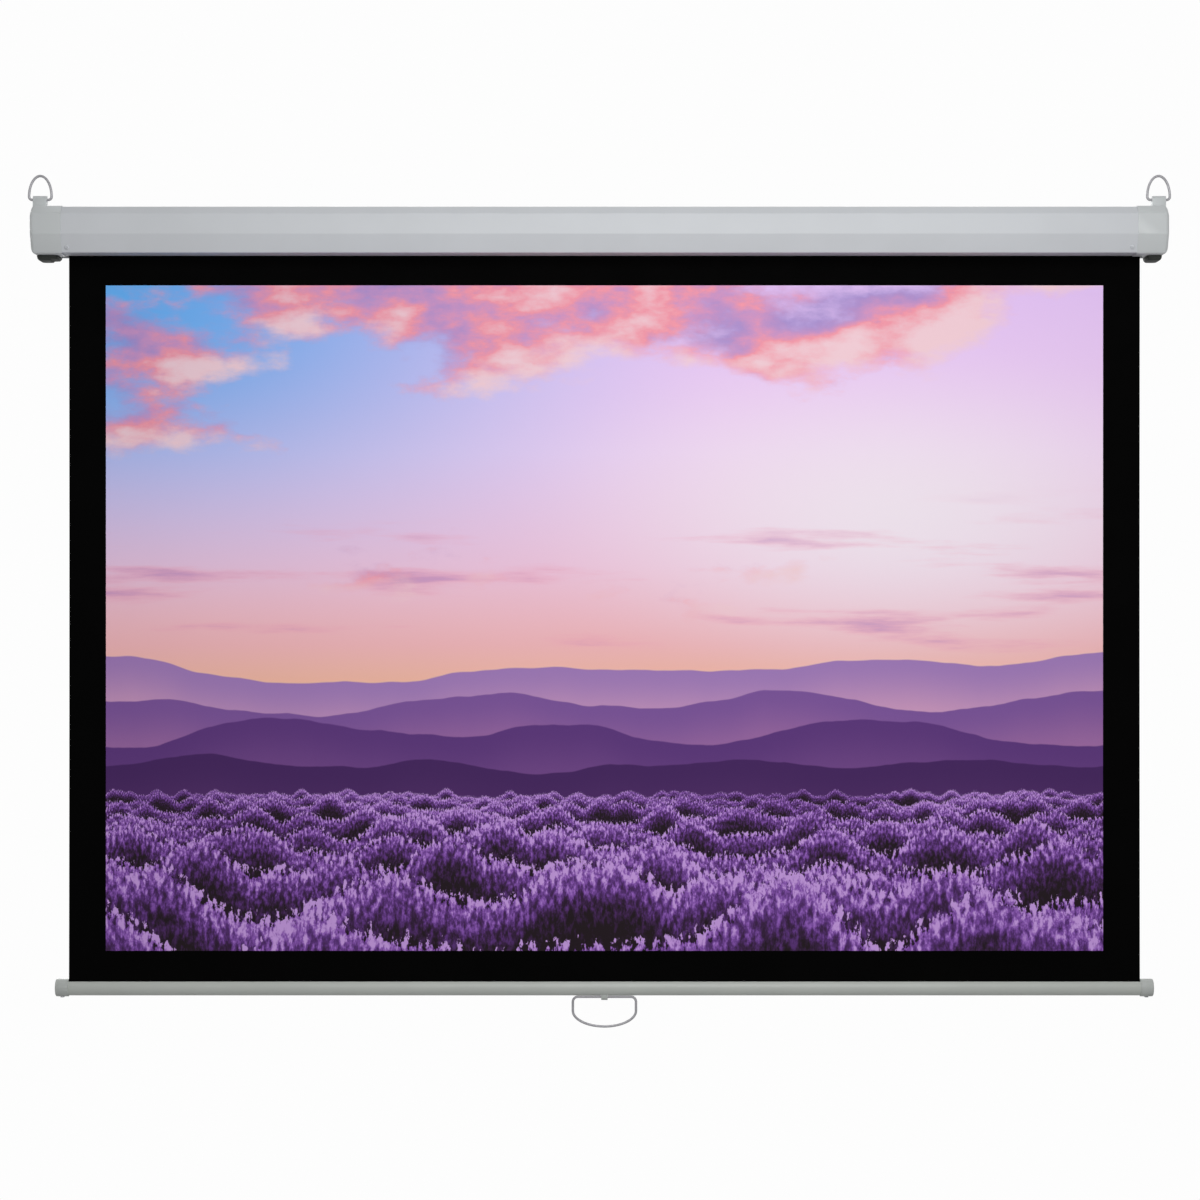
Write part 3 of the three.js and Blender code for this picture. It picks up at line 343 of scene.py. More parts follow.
@dataclass(frozen=True)
class CloudLayer:
    """A layer of cloud, cut from noise.

    Attributes:
        stretch: how much denser than the picture the noise is, across and up.
        start: where in the noise the picture's lower left corner lies.
        lumps: how many lumps it has in a unit.
        detail: how many finer layers it holds.
        rough: how strong these are.
        cover: the noise at which cloud starts, and at which it is full.
        share: how much of the sky full cloud hides.
    """

    stretch: tuple[float, float]
    start: tuple[float, float]
    lumps: float
    detail: float
    rough: float
    cover: tuple[float, float]
    share: float

    def noise(self, shader: ShaderTree, place: Plug) -> Plug:
        """Returns the noise at a place in the picture."""
        packed = shader.scaled(place, (*self.stretch, 1.0), (*self.start, 0.0))
        return shader.noise(packed, self.lumps, self.detail, self.rough)

    def body(self, shader: ShaderTree, noise: Plug) -> Plug:
        """Returns how much of the sky the cloud hides."""
        return shader.ease(noise, *self.cover, 0.0, self.share)


@dataclass(frozen=True)
class PicturePlace:
    """A place in the picture, in shares of the picture's height from its lower left corner.

    Attributes:
        whole: both its parts together.
        across: the part across.
        up: the part up.
        rise: the height above the horizon, from 0 to 1 at the picture's top.
    """

    whole: Plug
    across: Plug
    up: Plug
    rise: Plug


@dataclass(frozen=True)
class PaintedProjectionPicture(ClothFinish):
    """Painted projector light on the white cloth: a picture of dusk over violet hills, with a heath
    in front.

    Attributes:
        window_low: the picture's lower left corner on the flat cloth.
        window_height: the picture's height, which all shares below are parts of.
        horizon_share: where the farthest hills meet the sky.
        blue_side: where across the sky's blue starts, and where it is full.
        blue_heights: the heights above the horizon at which it starts, and is full.
        halo_place: the middle of the pale light, across and above the horizon.
        halo_squeeze: how much narrower and lower than round it is.
        halo_reach: how far it reaches.
        halo_share: how much of the sky's colour it takes away in its middle.
        streaks: the long thin clouds.
        streak_foot: the heights at which these start, and are full.
        streak_top: the heights at which they end, and are still full.
        streak_shade: the noise at which they start to darken, and are darkest.
        heaps: the heaped clouds.
        heap_heights: the heights between which these grow denser.
        heap_gain: what is added to their noise at these heights.
        lit_start: where the noise starts that they are lit by.
        heap_light: the difference in noise at which they are darkest, and fully lit.
        ridge_shares: the mean height of each ridge, from the farthest to the nearest.
        ridge_swing_shares: how far each ridge rises and falls.
        ridge_lumps: how many rises the farthest ridge has in the picture's height.
        ridge_growth: how many more each nearer one has.
        ridge_depth: how far below its crest a hill has the colour of its foot.
        heath_share: where the heath starts.
        mound_rows: how many rows of mounds it has.
        mound_width: how wide a mound is, in sizes of a mound.
        far_mound_share: the size of the mounds in the farthest row.
        row_growth: how much larger they are in each nearer row.
        row_overlap: how far apart the rows are, in sizes of a mound.
        mound_rise: how far a mound's middle and edges stand above its row, in sizes of a mound.
        roll: how far a row rolls up and down, in the same measure.
        stalks_in_mound: how many stalks a mound's size has, across and up.
        tip_reach: how far these stick out of a mound's outline, in sizes of a mound.
        shade_reach: how far below its outline a mound starts to darken, and is darkest.
        shade_span: how dark it is at these two places, from 0 to 1.
        fleck: how much lighter and darker the stalks are.
        patch_density: how many patches of other light the heath has, across and up.
        patch_swing: how much lighter and darker these are.
    """

    window_low: tuple[float, float] = (0.0, 0.0)
    window_height: float = 1.0
    horizon_share: float = 0.40
    blue_side: tuple[float, float] = (1.0, 0.0)
    blue_heights: tuple[float, float] = (0.12, 0.95)
    halo_place: tuple[float, float] = (1.2, 0.42)
    halo_squeeze: tuple[float, float] = (1.1, 1.5)
    halo_reach: float = 0.70
    halo_share: float = 0.92
    streaks: CloudLayer = CloudLayer((1.3, 11.0), (4.2, 1.7), 1.6, 7, 0.55, (0.54, 0.70), 0.75)
    streak_foot: tuple[float, float] = (0.02, 0.12)
    streak_top: tuple[float, float] = (0.52, 0.30)
    streak_shade: tuple[float, float] = (0.58, 0.72)
    heaps: CloudLayer = CloudLayer((1.5, 3.0), (9.3, 2.6), 1.35, 10, 0.57, (0.505, 0.60), 0.92)
    heap_heights: tuple[float, float] = (0.15, 1.0)
    heap_gain: tuple[float, float] = (-0.09, 0.035)
    lit_start: tuple[float, float] = (9.39, 2.50)
    heap_light: tuple[float, float] = (-0.10, 0.13)
    ridge_shares: tuple[float, ...] = (0.43, 0.375, 0.325, 0.275)
    ridge_swing_shares: tuple[float, ...] = (0.15, 0.11, 0.075, 0.05)
    ridge_lumps: float = 1.5
    ridge_growth: float = 0.7
    ridge_depth: float = 0.11
    heath_share: float = 0.235
    mound_rows: int = 9
    mound_width: float = 2.6
    far_mound_share: float = 0.0085
    row_growth: float = 1.32
    row_overlap: float = 0.9
    mound_rise: tuple[float, float] = (0.9, -0.5)
    roll: float = 0.5
    stalks_in_mound: tuple[float, float] = (7, 3)
    tip_reach: float = 0.3
    shade_reach: tuple[float, float] = (-0.2, 2.0)
    shade_span: tuple[float, float] = (0.14, 0.98)
    fleck: float = 0.30
    patch_density: tuple[float, float] = (2.2, 6.0)
    patch_swing: tuple[float, float] = (-0.10, 0.12)

    def place(self, shader: ShaderTree) -> Plug:
        """Finds the place in the picture, in shares of its height from its lower left corner.

        Args:
            shader: the material's tree.

        Returns:
            The place.
        """
        scale = 1 / self.window_height
        shift = [-part * scale for part in self.window_low]
        return shader.scaled(shader.cloth_place(), (scale, scale, scale), (*shift, 0.0))

    def colour(self, shader: ShaderTree, place: Plug) -> Plug:
        """Paints the picture from the sky forwards.

        Args:
            shader: the material's tree.
            place: the place in the picture.

        Returns:
            The picture's colour.
        """
        parts = shader.add("ShaderNodeSeparateXYZ", {0: place}).outputs
        above = shader.math("SUBTRACT", parts[1], self.horizon_share)
        rise = shader.math("DIVIDE", above, 1 - self.horizon_share)
        spot = PicturePlace(place, parts[0], parts[1], rise)
        picture = self.sky(shader, spot)
        for paint in (self.low_cloud, self.high_cloud, self.hills, self.heath):
            picture = paint(shader, spot, picture)
        return picture

    def sky(self, shader: ShaderTree, spot: PicturePlace) -> Plug:
        """Paints the clear sky.

        Args:
            shader: the material's tree.
            spot: the place in the picture.

        Returns:
            The sky's colour.
        """
        glow = [
            (0.0, Tone(255, 196, 172)),
            (0.10, Tone(255, 194, 198)),
            (0.30, Tone(255, 210, 234)),
            (0.58, Tone(252, 220, 255)),
            (1.0, Tone(238, 204, 255)),
        ]
        warm = shader.ramp(spot.rise, glow)
        blue_side = shader.ease(spot.across, *self.blue_side)
        blue_height = shader.ease(spot.rise, *self.blue_heights)
        blue = shader.math("MULTIPLY", blue_side, blue_height)
        cool = shader.mix(blue, warm, Tone(108, 184, 255).linear())
        squares = []
        parts = (spot.across, spot.rise)
        for part, middle, squeeze in zip(parts, self.halo_place, self.halo_squeeze):
            aside = shader.math("MULTIPLY", shader.math("SUBTRACT", part, middle), squeeze)
            squares.append(shader.math("MULTIPLY", aside, aside))
        distance = shader.math("SQRT", shader.math("ADD", *squares))
        halo = shader.ease(distance, self.halo_reach, 0.0, 0.0, self.halo_share)
        return shader.mix(halo, cool, Tone(255, 244, 254).linear())

    def low_cloud(self, shader: ShaderTree, spot: PicturePlace, behind: Plug) -> Plug:
        """Lays the streaks over the lower sky.

        Args:
            shader: the material's tree.
            spot: the place in the picture.
            behind: the colour behind them.

        Returns:
            The colour with the streaks.
        """
        streaks = self.streaks.noise(shader, spot.whole)
        over_hills = shader.ease(spot.rise, *self.streak_foot)
        band = shader.math("MULTIPLY", over_hills, shader.ease(spot.rise, *self.streak_top))
        thick = shader.ease(streaks, *self.streak_shade)
        shade = shader.mix(thick, Tone(250, 166, 194).linear(), Tone(204, 148, 202).linear())
        body = self.streaks.body(shader, streaks)
        return shader.mix(shader.math("MULTIPLY", body, band), behind, shade)

    def high_cloud(self, shader: ShaderTree, spot: PicturePlace, behind: Plug) -> Plug:
        """Lays the heaps over the upper sky, lit from below on one side.

        Args:
            shader: the material's tree.
            spot: the place in the picture.
            behind: the colour behind them.

        Returns:
            The colour with the heaps.
        """
        heap = self.heaps.noise(shader, spot.whole)
        lit_heap = replace(self.heaps, start=self.lit_start).noise(shader, spot.whole)
        gain = shader.ease(spot.rise, *self.heap_heights, *self.heap_gain)
        cover = shader.math("ADD", heap, gain)
        light = shader.ease(shader.math("SUBTRACT", heap, lit_heap), *self.heap_light)
        bank = [
            (0.0, Tone(166, 144, 212)),
            (0.35, Tone(216, 152, 200)),
            (0.62, Tone(255, 156, 168)),
            (1.0, Tone(255, 216, 222)),
        ]
        return shader.mix(self.heaps.body(shader, cover), behind, shader.ramp(light, bank))

    def hills(self, shader: ShaderTree, spot: PicturePlace, behind: Plug) -> Plug:
        """Lays the ridges over each other, each nearer one lower and deeper in colour.

        Args:
            shader: the material's tree.
            spot: the place in the picture.
            behind: the sky.

        Returns:
            The colour with the hills.
        """
        crowns = [Tone(168, 130, 194), Tone(130, 90, 162), Tone(98, 60, 130), Tone(74, 42, 100)]
        feet = [Tone(224, 168, 202), Tone(172, 118, 174), Tone(124, 80, 146), Tone(90, 54, 112)]
        layers = zip(self.ridge_shares, self.ridge_swing_shares, crowns, feet)
        for count, (level, swing, crown, foot) in enumerate(layers):
            line = shader.own_line(spot.across, 3.7 * count + 1.3)
            wave = shader.noise(line, self.ridge_lumps + self.ridge_growth * count, 5, 0.38)
            swell = shader.math("MULTIPLY", shader.math("SUBTRACT", wave, 0.5), swing * 2)
            below = shader.math("SUBTRACT", shader.math("ADD", swell, level), spot.up)
            depth = shader.ease(below, 0.0, self.ridge_depth)
            side = shader.mix(depth, crown.linear(), foot.linear())
            behind = shader.lay_over(below, behind, side)
        return behind

    def heath(self, shader: ShaderTree, spot: PicturePlace, behind: Plug) -> Plug:
        """Covers the foreground with rows of flowering mounds that grow towards the viewer.

        Args:
            shader: the material's tree.
            spot: the place in the picture.
            behind: the hills.

        Returns:
            The finished picture.
        """
        flowers = [
            (0.0, Tone(208, 164, 234)),
            (0.16, Tone(152, 98, 194)),
            (0.36, Tone(102, 60, 136)),
            (0.62, Tone(64, 38, 76)),
            (0.92, Tone(34, 24, 30)),
        ]
        patches = shader.noise(shader.scaled(spot.whole, (*self.patch_density, 1.0)), 1.0, 3)
        patch_shade = shader.ease(patches, *NOISE_SPAN, *self.patch_swing)
        level, size = self.heath_share, self.far_mound_share
        for row in range(self.mound_rows):
            line = shader.own_line(spot.across, 5.3 * row + 0.4)
            middles = shader.cells(line, 1 / (self.mound_width * size))
            humps = shader.ease(middles, 0.0, 0.9, *(size * part for part in self.mound_rise))
            swing = size * self.roll
            roll = shader.ease(shader.noise(line, 2.3, 2), *WIDE_NOISE_SPAN, -swing, swing)
            crest = shader.math("ADD", shader.math("ADD", humps, roll), level)
            below = shader.math("SUBTRACT", crest, spot.up)
            density = [part / size for part in self.stalks_in_mound]
            stalks = shader.noise(shader.scaled(spot.whole, (*density, 1.0)), 1.0, 4, 0.65)
            reach = size * self.tip_reach
            tips = shader.ease(stalks, *NOISE_SPAN, -reach, reach)
            ends = (size * part for part in self.shade_reach)
            shade = shader.ease(below, *ends, *self.shade_span)
            flecks = shader.ease(stalks, 0.32, 0.68, self.fleck, -self.fleck)
            bloom = shader.math("ADD", shader.math("ADD", shade, flecks), patch_shade)
            mound = shader.ramp(bloom, flowers)
            behind = shader.lay_over(shader.math("ADD", below, tips), behind, mound)
            level -= size * self.row_overlap
            size *= self.row_growth
        return behind


CASE_PAINT = Finish(
    "case_powder_coat", Tone(203, 206, 210), 0.5, specular=0.35, grain_depth=6e-6, drift=0.018
)
CAP_PLASTIC = Finish(
    "cap_moulding", Tone(198, 202, 203), 0.5, grain_size=0.0007, grain_depth=6e-6
)
PLUG_PLASTIC = replace(CAP_PLASTIC, name="plug_moulding", tone=Tone(184, 188, 185), specular=0.3)
BAR_PAINT = Finish(
    "bar_satin_paint", Tone(188, 192, 187), 0.4, specular=0.35, grain=Grain.DRAWN, grain_depth=8e-6
)
PLATED_WIRE = Finish(
    "plated_wire",
    Tone(156, 155, 159),
    roughness=0.5,
    metallic=0.4,
    specular=0.3,
    grain_depth=2e-6,
    drift=0.05,
    drift_size=0.012,
)
PLATED_STEEL = Finish(
    "plated_steel", Tone(164, 166, 170), 0.38, 1.0, grain_size=0.0009, drift=0.08, drift_size=0.01
)
MILL_ALUMINIUM = Finish(
    "mill_aluminium", Tone(188, 190, 194), 0.4, 1.0, grain=Grain.DRAWN, drift=0.04
)
DARK_MOULDING = Finish(
    "dark_moulding", Tone(62, 63, 65), 0.55, grain_size=0.0008, drift=0.05, drift_size=0.02
)
# Dark rubber bumpers under the end caps: their near-black colour is partly painted shade, standing
# in for the shade under the caps.
BUMPER_RUBBER_AND_SHADE = Finish(
    "bumper_rubber_and_shade",
    Tone(38, 41, 38),
    roughness=0.75,
    specular=0.35,
    grain_size=0.0005,
    drift=0.12,
    drift_size=0.008,
)
BLACK_PRINT = ClothFinish(
    "black_print", Tone(4, 4, 4), 0.85, specular=0.02, grain_size=0.0006, drift=0.15
)
BLACK_BACKING = ClothFinish(
    "black_backing", Tone(17, 17, 18), 0.8, specular=0.15, grain_size=0.0008, drift=0.12
)
WOUND_CLOTH = Finish(
    "wound_cloth_coat", Tone(17, 17, 18), 0.8, specular=0.15, grain_size=0.0008, drift=0.12
)
PALE_FLOOR = Finish("pale_floor", Tone(214, 214, 214), 0.9, specular=0.1)


class GeometryTree(NodeTree):
    """A Geometry Nodes tree with named sizes, which ends in plain, dressed geometry.

    Attributes:
        start: the geometry that comes in.
        sizes: each size's value by its socket's identifier.
    """

    def __init__(self, name: str) -> None:
        """Starts an empty tree with a way in and a way out.

        Args:
            name: the tree's name.
        """
        super().__init__(bpy.data.node_groups.new(name, "GeometryNodeTree"))
        for way in ("INPUT", "OUTPUT"):
            self.tree.interface.new_socket("Geometry", in_out=way, socket_type="NodeSocketGeometry")
        self.entry = self.tree.nodes.new("NodeGroupInput")
        self.exit = self.tree.nodes.new("NodeGroupOutput")
        self.start = self.entry.outputs["Geometry"]
        self.sizes: dict[str, float] = {}

    def size(self, name: str, value: float) -> Plug:
        """Adds a named size.

        Args:
            name: what it is called on the modifier.
            value: what it is set to; a whole number makes a count.

        Returns:
            Its socket inside the tree.
        """
        kind = "NodeSocketInt" if isinstance(value, int) else "NodeSocketFloat"
        item = self.tree.interface.new_socket(name, in_out="INPUT", socket_type=kind)
        self.sizes[item.identifier] = value
        return self.entry.outputs[name]

    def attribute(self, name: str, kind: str = "FLOAT") -> Plug:
        """Reads what each point carries under a name."""
        return self.result("GeometryNodeInputNamedAttribute", {"Name": name}, data_type=kind)

    def bent_path(self, steps: int) -> Plug:
        """Turns the incoming polyline into a curve, each corner rounded by its own bend.

        Args:
            steps: how many points each bend gets.

        Returns:
            The curve.
        """
        curve = self.result("GeometryNodeMeshToCurve", {"Mesh": self.start})
        inputs = {"Curve": curve, "Radius": self.attribute("bend"), "Limit Radius": True}
        inputs["Count"] = self.size("Points in a bend", steps)
        return self.result("GeometryNodeFilletCurve", inputs, mode="POLY")

    def sheet_along(self, path: Plug, wall: Plug, length: Plug, inward: float) -> Plug:
        """Runs a strip of sheet along a path that was drawn as depth and height.

        Args:
            path: the path, with depth along X and height along Y.
            wall: the sheet's thickness.
            length: how long the sheet is along the part.
            inward: how much of its thickness it moves to one side of the path, as a share.

        Returns:
            The sheet, turned so that depth is Y, height is Z and its length lies along X.
        """
        upright = self.result("GeometryNodeSetCurveNormal", {"Curve": path}, mode="Z_UP")
        inputs = {"Width": wall, "Height": length}
        section = self.result("GeometryNodeCurvePrimitiveQuadrilateral", inputs)
        shift = self.math("MULTIPLY", wall, inward)
        aside = self.result("ShaderNodeCombineXYZ", {0: shift})
        moved = self.result("GeometryNodeTransform", {"Geometry": section, "Translation": aside})
        inputs = {"Curve": upright, "Profile Curve": moved, "Fill Caps": True}
        sheet = self.result("GeometryNodeCurveToMesh", inputs)
        inputs = {"Geometry": sheet, "Rotation": (math.pi / 2, 0.0, math.pi / 2)}
        return self.result("GeometryNodeTransform", inputs)

    def round_along(self, path: Plug, radius: Value, girth: Value, sides: int) -> Plug:
        """Runs a round section along a path.

        Args:
            path: the path.
            radius: the section's radius.
            girth: what the radius is multiplied by at each point.
            sides: how many sides the section has.

        Returns:
            The closed round body.
        """
        inputs = {"Resolution": sides, "Radius": radius}
        circle = self.result("GeometryNodeCurvePrimitiveCircle", inputs)
        inputs = {"Curve": path, "Profile Curve": circle, "Scale": girth, "Fill Caps": True}
        return self.result("GeometryNodeCurveToMesh", inputs)

    def close(self, geometry: Plug, finish: Finish) -> None:
        """Ends the tree in real, dressed geometry.

        Args:
            geometry: the shape.
            finish: what it is dressed in.
        """
        real = self.result("GeometryNodeRealizeInstances", {"Geometry": geometry})
        inputs = {"Geometry": real, "Material": finish.material()}
        dressed = self.result("GeometryNodeSetMaterial", inputs)
        self.tree.links.new(dressed, self.exit.inputs[0])


def place_of(joint: str) -> Vector:
    """Returns the point that a hinge turns about."""
    return Vector(next(item["pos_m"] for item in frame["joints"] if item["name"] == joint))


def cloth_depth() -> tuple[float, float]:
    """Returns how deep the hanging cloth's front and back lie."""
    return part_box("black_border")[0].y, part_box("black_backing")[1].y


def shown(name: str, data: bpy.types.ID) -> bpy.types.Object:
    """Puts a mesh, lamp or camera in the scene.

    Args:
        name: the new object's name.
        data: what it holds.

    Returns:
        The object, at the origin.
    """
    piece = bpy.data.objects.new(name, data)
    bpy.context.scene.collection.objects.link(piece)
    return piece


def polyline(name: str, corners: Sequence[Corner], carried: str = "bend") -> bpy.types.Object:
    """Makes a line of points that a tree can read.

    Args:
        name: the object's name.
        corners: each point with the number that it carries.
        carried: what this number is called.

    Returns:
        The line's object.
    """
    mesh = bpy.data.meshes.new(name)
    edges = [(i, i + 1) for i in range(len(corners) - 1)]
    mesh.from_pydata([place for place, _ in corners], edges, [])
    numbers = mesh.attributes.new(carried, "FLOAT", "POINT")
    numbers.data.foreach_set("value", [value for _, value in corners])
    return shown(name, mesh)


def baked(base: bpy.types.Object, tree: GeometryTree, name: str) -> bpy.types.Object:
    """Runs a tree on an object and keeps the result as a plain mesh.

    Args:
        base: the object that the tree starts from, which is used up.
        tree: the tree.
        name: the finished piece's name.

    Returns:
        The finished piece.
    """
    modifier = base.modifiers.new(tree.tree.name, "NODES")
    modifier.node_group = tree.tree
    for identifier, value in tree.sizes.items():
        modifier[identifier] = value
    depsgraph = bpy.context.evaluated_depsgraph_get()
    mesh = bpy.data.meshes.new_from_object(base.evaluated_get(depsgraph), depsgraph=depsgraph)
    base.modifiers.remove(modifier)
    bpy.data.objects.remove(base)
    return smoothed(shown(name, mesh))


def smoothed(piece: bpy.types.Object) -> bpy.types.Object:
    """Merges a piece's doubles, turns its faces outwards and smooths all but its creases.

    Args:
        piece: the piece.

    Returns:
        The same piece.
    """
    shape = bmesh.new()
    shape.from_mesh(piece.data)
    bmesh.ops.remove_doubles(shape, verts=shape.verts, dist=MERGE_DISTANCE)
    bmesh.ops.recalc_face_normals(shape, faces=shape.faces)
    shape.to_mesh(piece.data)
    shape.free()
    piece.data.shade_smooth()
    piece.data.set_sharp_from_angle(angle=CREASE_ANGLE)
    return piece


def refined(node: str, finish: Finish, edge: float = 0.0) -> bpy.types.Object:
    """Copies a CAD node, joins its loose triangles and eases its sharp edges.

    Args:
        node: the CAD node.
        finish: what the copy is dressed in.
        edge: how wide its eased edges are.

    Returns:
        The finished copy.
    """
    mesh = frame["nodes"][node].data.copy()
    mesh.materials.clear()
    mesh.materials.append(finish.material())
    shape = bmesh.new()
    shape.from_mesh(mesh)
    bmesh.ops.remove_doubles(shape, verts=shape.verts, dist=MERGE_DISTANCE)
    bmesh.ops.dissolve_limit(shape, angle_limit=FLAT_ANGLE, verts=shape.verts, edges=shape.edges)
    if edge > 0:
        sharp = [line for line in shape.edges if line.calc_face_angle(0.0) > CREASE_ANGLE]
        rule = {"segments": 2, "profile": 0.5, "affect": "EDGES", "clamp_overlap": True}
        bmesh.ops.bevel(shape, geom=sharp, offset=edge, **rule)
    shape.to_mesh(mesh)
    shape.free()
    return smoothed(shown(node + "_finished", mesh))


@dataclass
class SubAssembly:
    """What every sub-assembly shares."""

    def coat(self, finish: Finish, *nodes: str) -> None:
        """Dresses CAD nodes that keep their own shape.

        Args:
            finish: what they are dressed in.
            nodes: their names.
        """
        for name in nodes:
            materials = frame["nodes"][name].data.materials
            materials.clear()
            materials.append(finish.material())
        LOG.info("dressed %s in %s", ", ".join(nodes), finish.name)

    def mount(self, piece: bpy.types.Object, body: str, slot: Slot, *nodes: str) -> None:
        """Hands a finished piece to the body that carries it.

        Args:
            piece: the piece.
            body: the body's name.
            slot: the record's slot that its finish belongs to; not used.
            nodes: the CAD nodes that it stands for.
        """
        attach(piece, body)
        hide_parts(*nodes)
        LOG.info("%s rides on %s, %d faces", piece.name, body, len(piece.data.polygons))


@dataclass
class CrossScrews(SubAssembly):
    """Pan-head screws with a cross recess.

    Attributes:
        radius: the head's radius.
        height: the head's height.
        profile: its outline from the bottom up, as shares of its height and radius.
        recess_length: the cross's length.
        recess_width: the width of its arms.
        recess_depth: how deep it is cut.
        sides: how many sides the head has.
        finish: what the screws are dressed in.
        slot: the record's slot that this finish belongs to.
    """

    radius: float = 0.003
    height: float = 0.0016
    profile: tuple[tuple[float, float], ...] = (
        (-1.0, 0.98),
        (-0.62, 1.0),
        (-0.45, 0.97),
        (-0.24, 0.86),
        (-0.08, 0.68),
        (0.0, 0.46),
    )
    recess_length: float = 0.0034
    recess_width: float = 0.0007
    recess_depth: float = 0.0009
    sides: int = 28
    finish: Finish = PLATED_STEEL
    slot: Slot = Slot.STEEL

    def head(self) -> bpy.types.Object:
        """Builds one head, its top at the origin and facing +Z, as a pattern for the others.

        Returns:
            The head.
        """
        outline = [(Vector((0, 0, level * self.height)), girth) for level, girth in self.profile]
        tree = GeometryTree("screw_head")
        radius = tree.size("Head radius", self.radius)
        path = tree.result("GeometryNodeMeshToCurve", {"Mesh": tree.start})
        body = tree.round_along(path, radius, tree.attribute("girth"), self.sides)
        long = tree.size("Recess length", self.recess_length)
        arms = (long, tree.size("Recess width", self.recess_width))
        deep = tree.math("MULTIPLY", tree.size("Recess depth", self.recess_depth), 2.0)
        cut = {"Mesh 1": body}
        for first, second in (arms, arms[::-1]):
            size = tree.result("ShaderNodeCombineXYZ", {0: first, 1: second, 2: deep})
            cut["Mesh 2"] = tree.result("GeometryNodeMeshCube", {"Size": size})
            rule = {"operation": "DIFFERENCE", "solver": "EXACT"}
            cut = {"Mesh 1": tree.result("GeometryNodeMeshBoolean", cut, **rule)}
        tree.close(cut["Mesh 1"], self.finish)
        return baked(polyline("screw_profile", outline, "girth"), tree, "screw_pattern")

    def row(self, name: str, body: str, nodes: dict[str, Vector]) -> None:
        """Sets a head on each CAD screw.

        Args:
            name: the finished row's name.
            body: the body that carries it.
            nodes: each CAD screw with the way that its head faces.
        """
        pattern = self.head()
        points = bpy.data.meshes.new(name + "_points")
        points.from_pydata([self.top(node, way) for node, way in nodes.items()], [], [])
        ways = points.attributes.new("way", "FLOAT_VECTOR", "POINT")
        ways.data.foreach_set("vector", [part for way in nodes.values() for part in way])
        tree = GeometryTree(name)
        way = tree.attribute("way", "FLOAT_VECTOR")
        turn = tree.result("FunctionNodeAlignRotationToVector", {"Vector": way})
        head = tree.add("GeometryNodeObjectInfo", {"Object": pattern}).outputs["Geometry"]
        inputs = {"Points": tree.start, "Instance": head, "Rotation": turn}
        tree.close(tree.result("GeometryNodeInstanceOnPoints", inputs), self.finish)
        row = baked(shown(name + "_points", points), tree, name)
        bpy.data.objects.remove(pattern)
        self.mount(row, body, self.slot, *nodes)

    def top(self, node: str, way: Vector) -> Vector:
        """Finds the middle of a CAD screw's head.

        Args:
            node: the CAD screw.
            way: the way that its head faces.

        Returns:
            The middle of the head's outer face.
        """
        places = [vertex.co for vertex in frame["nodes"][node].data.vertices]
        reach = max(place.dot(way) for place in places)
        face = [place for place in places if reach - place.dot(way) < FACE_DEPTH]
        low = Vector(min(place[i] for place in face) for i in range(3))
        high = Vector(max(place[i] for place in face) for i in range(3))
        return (low + high) / 2


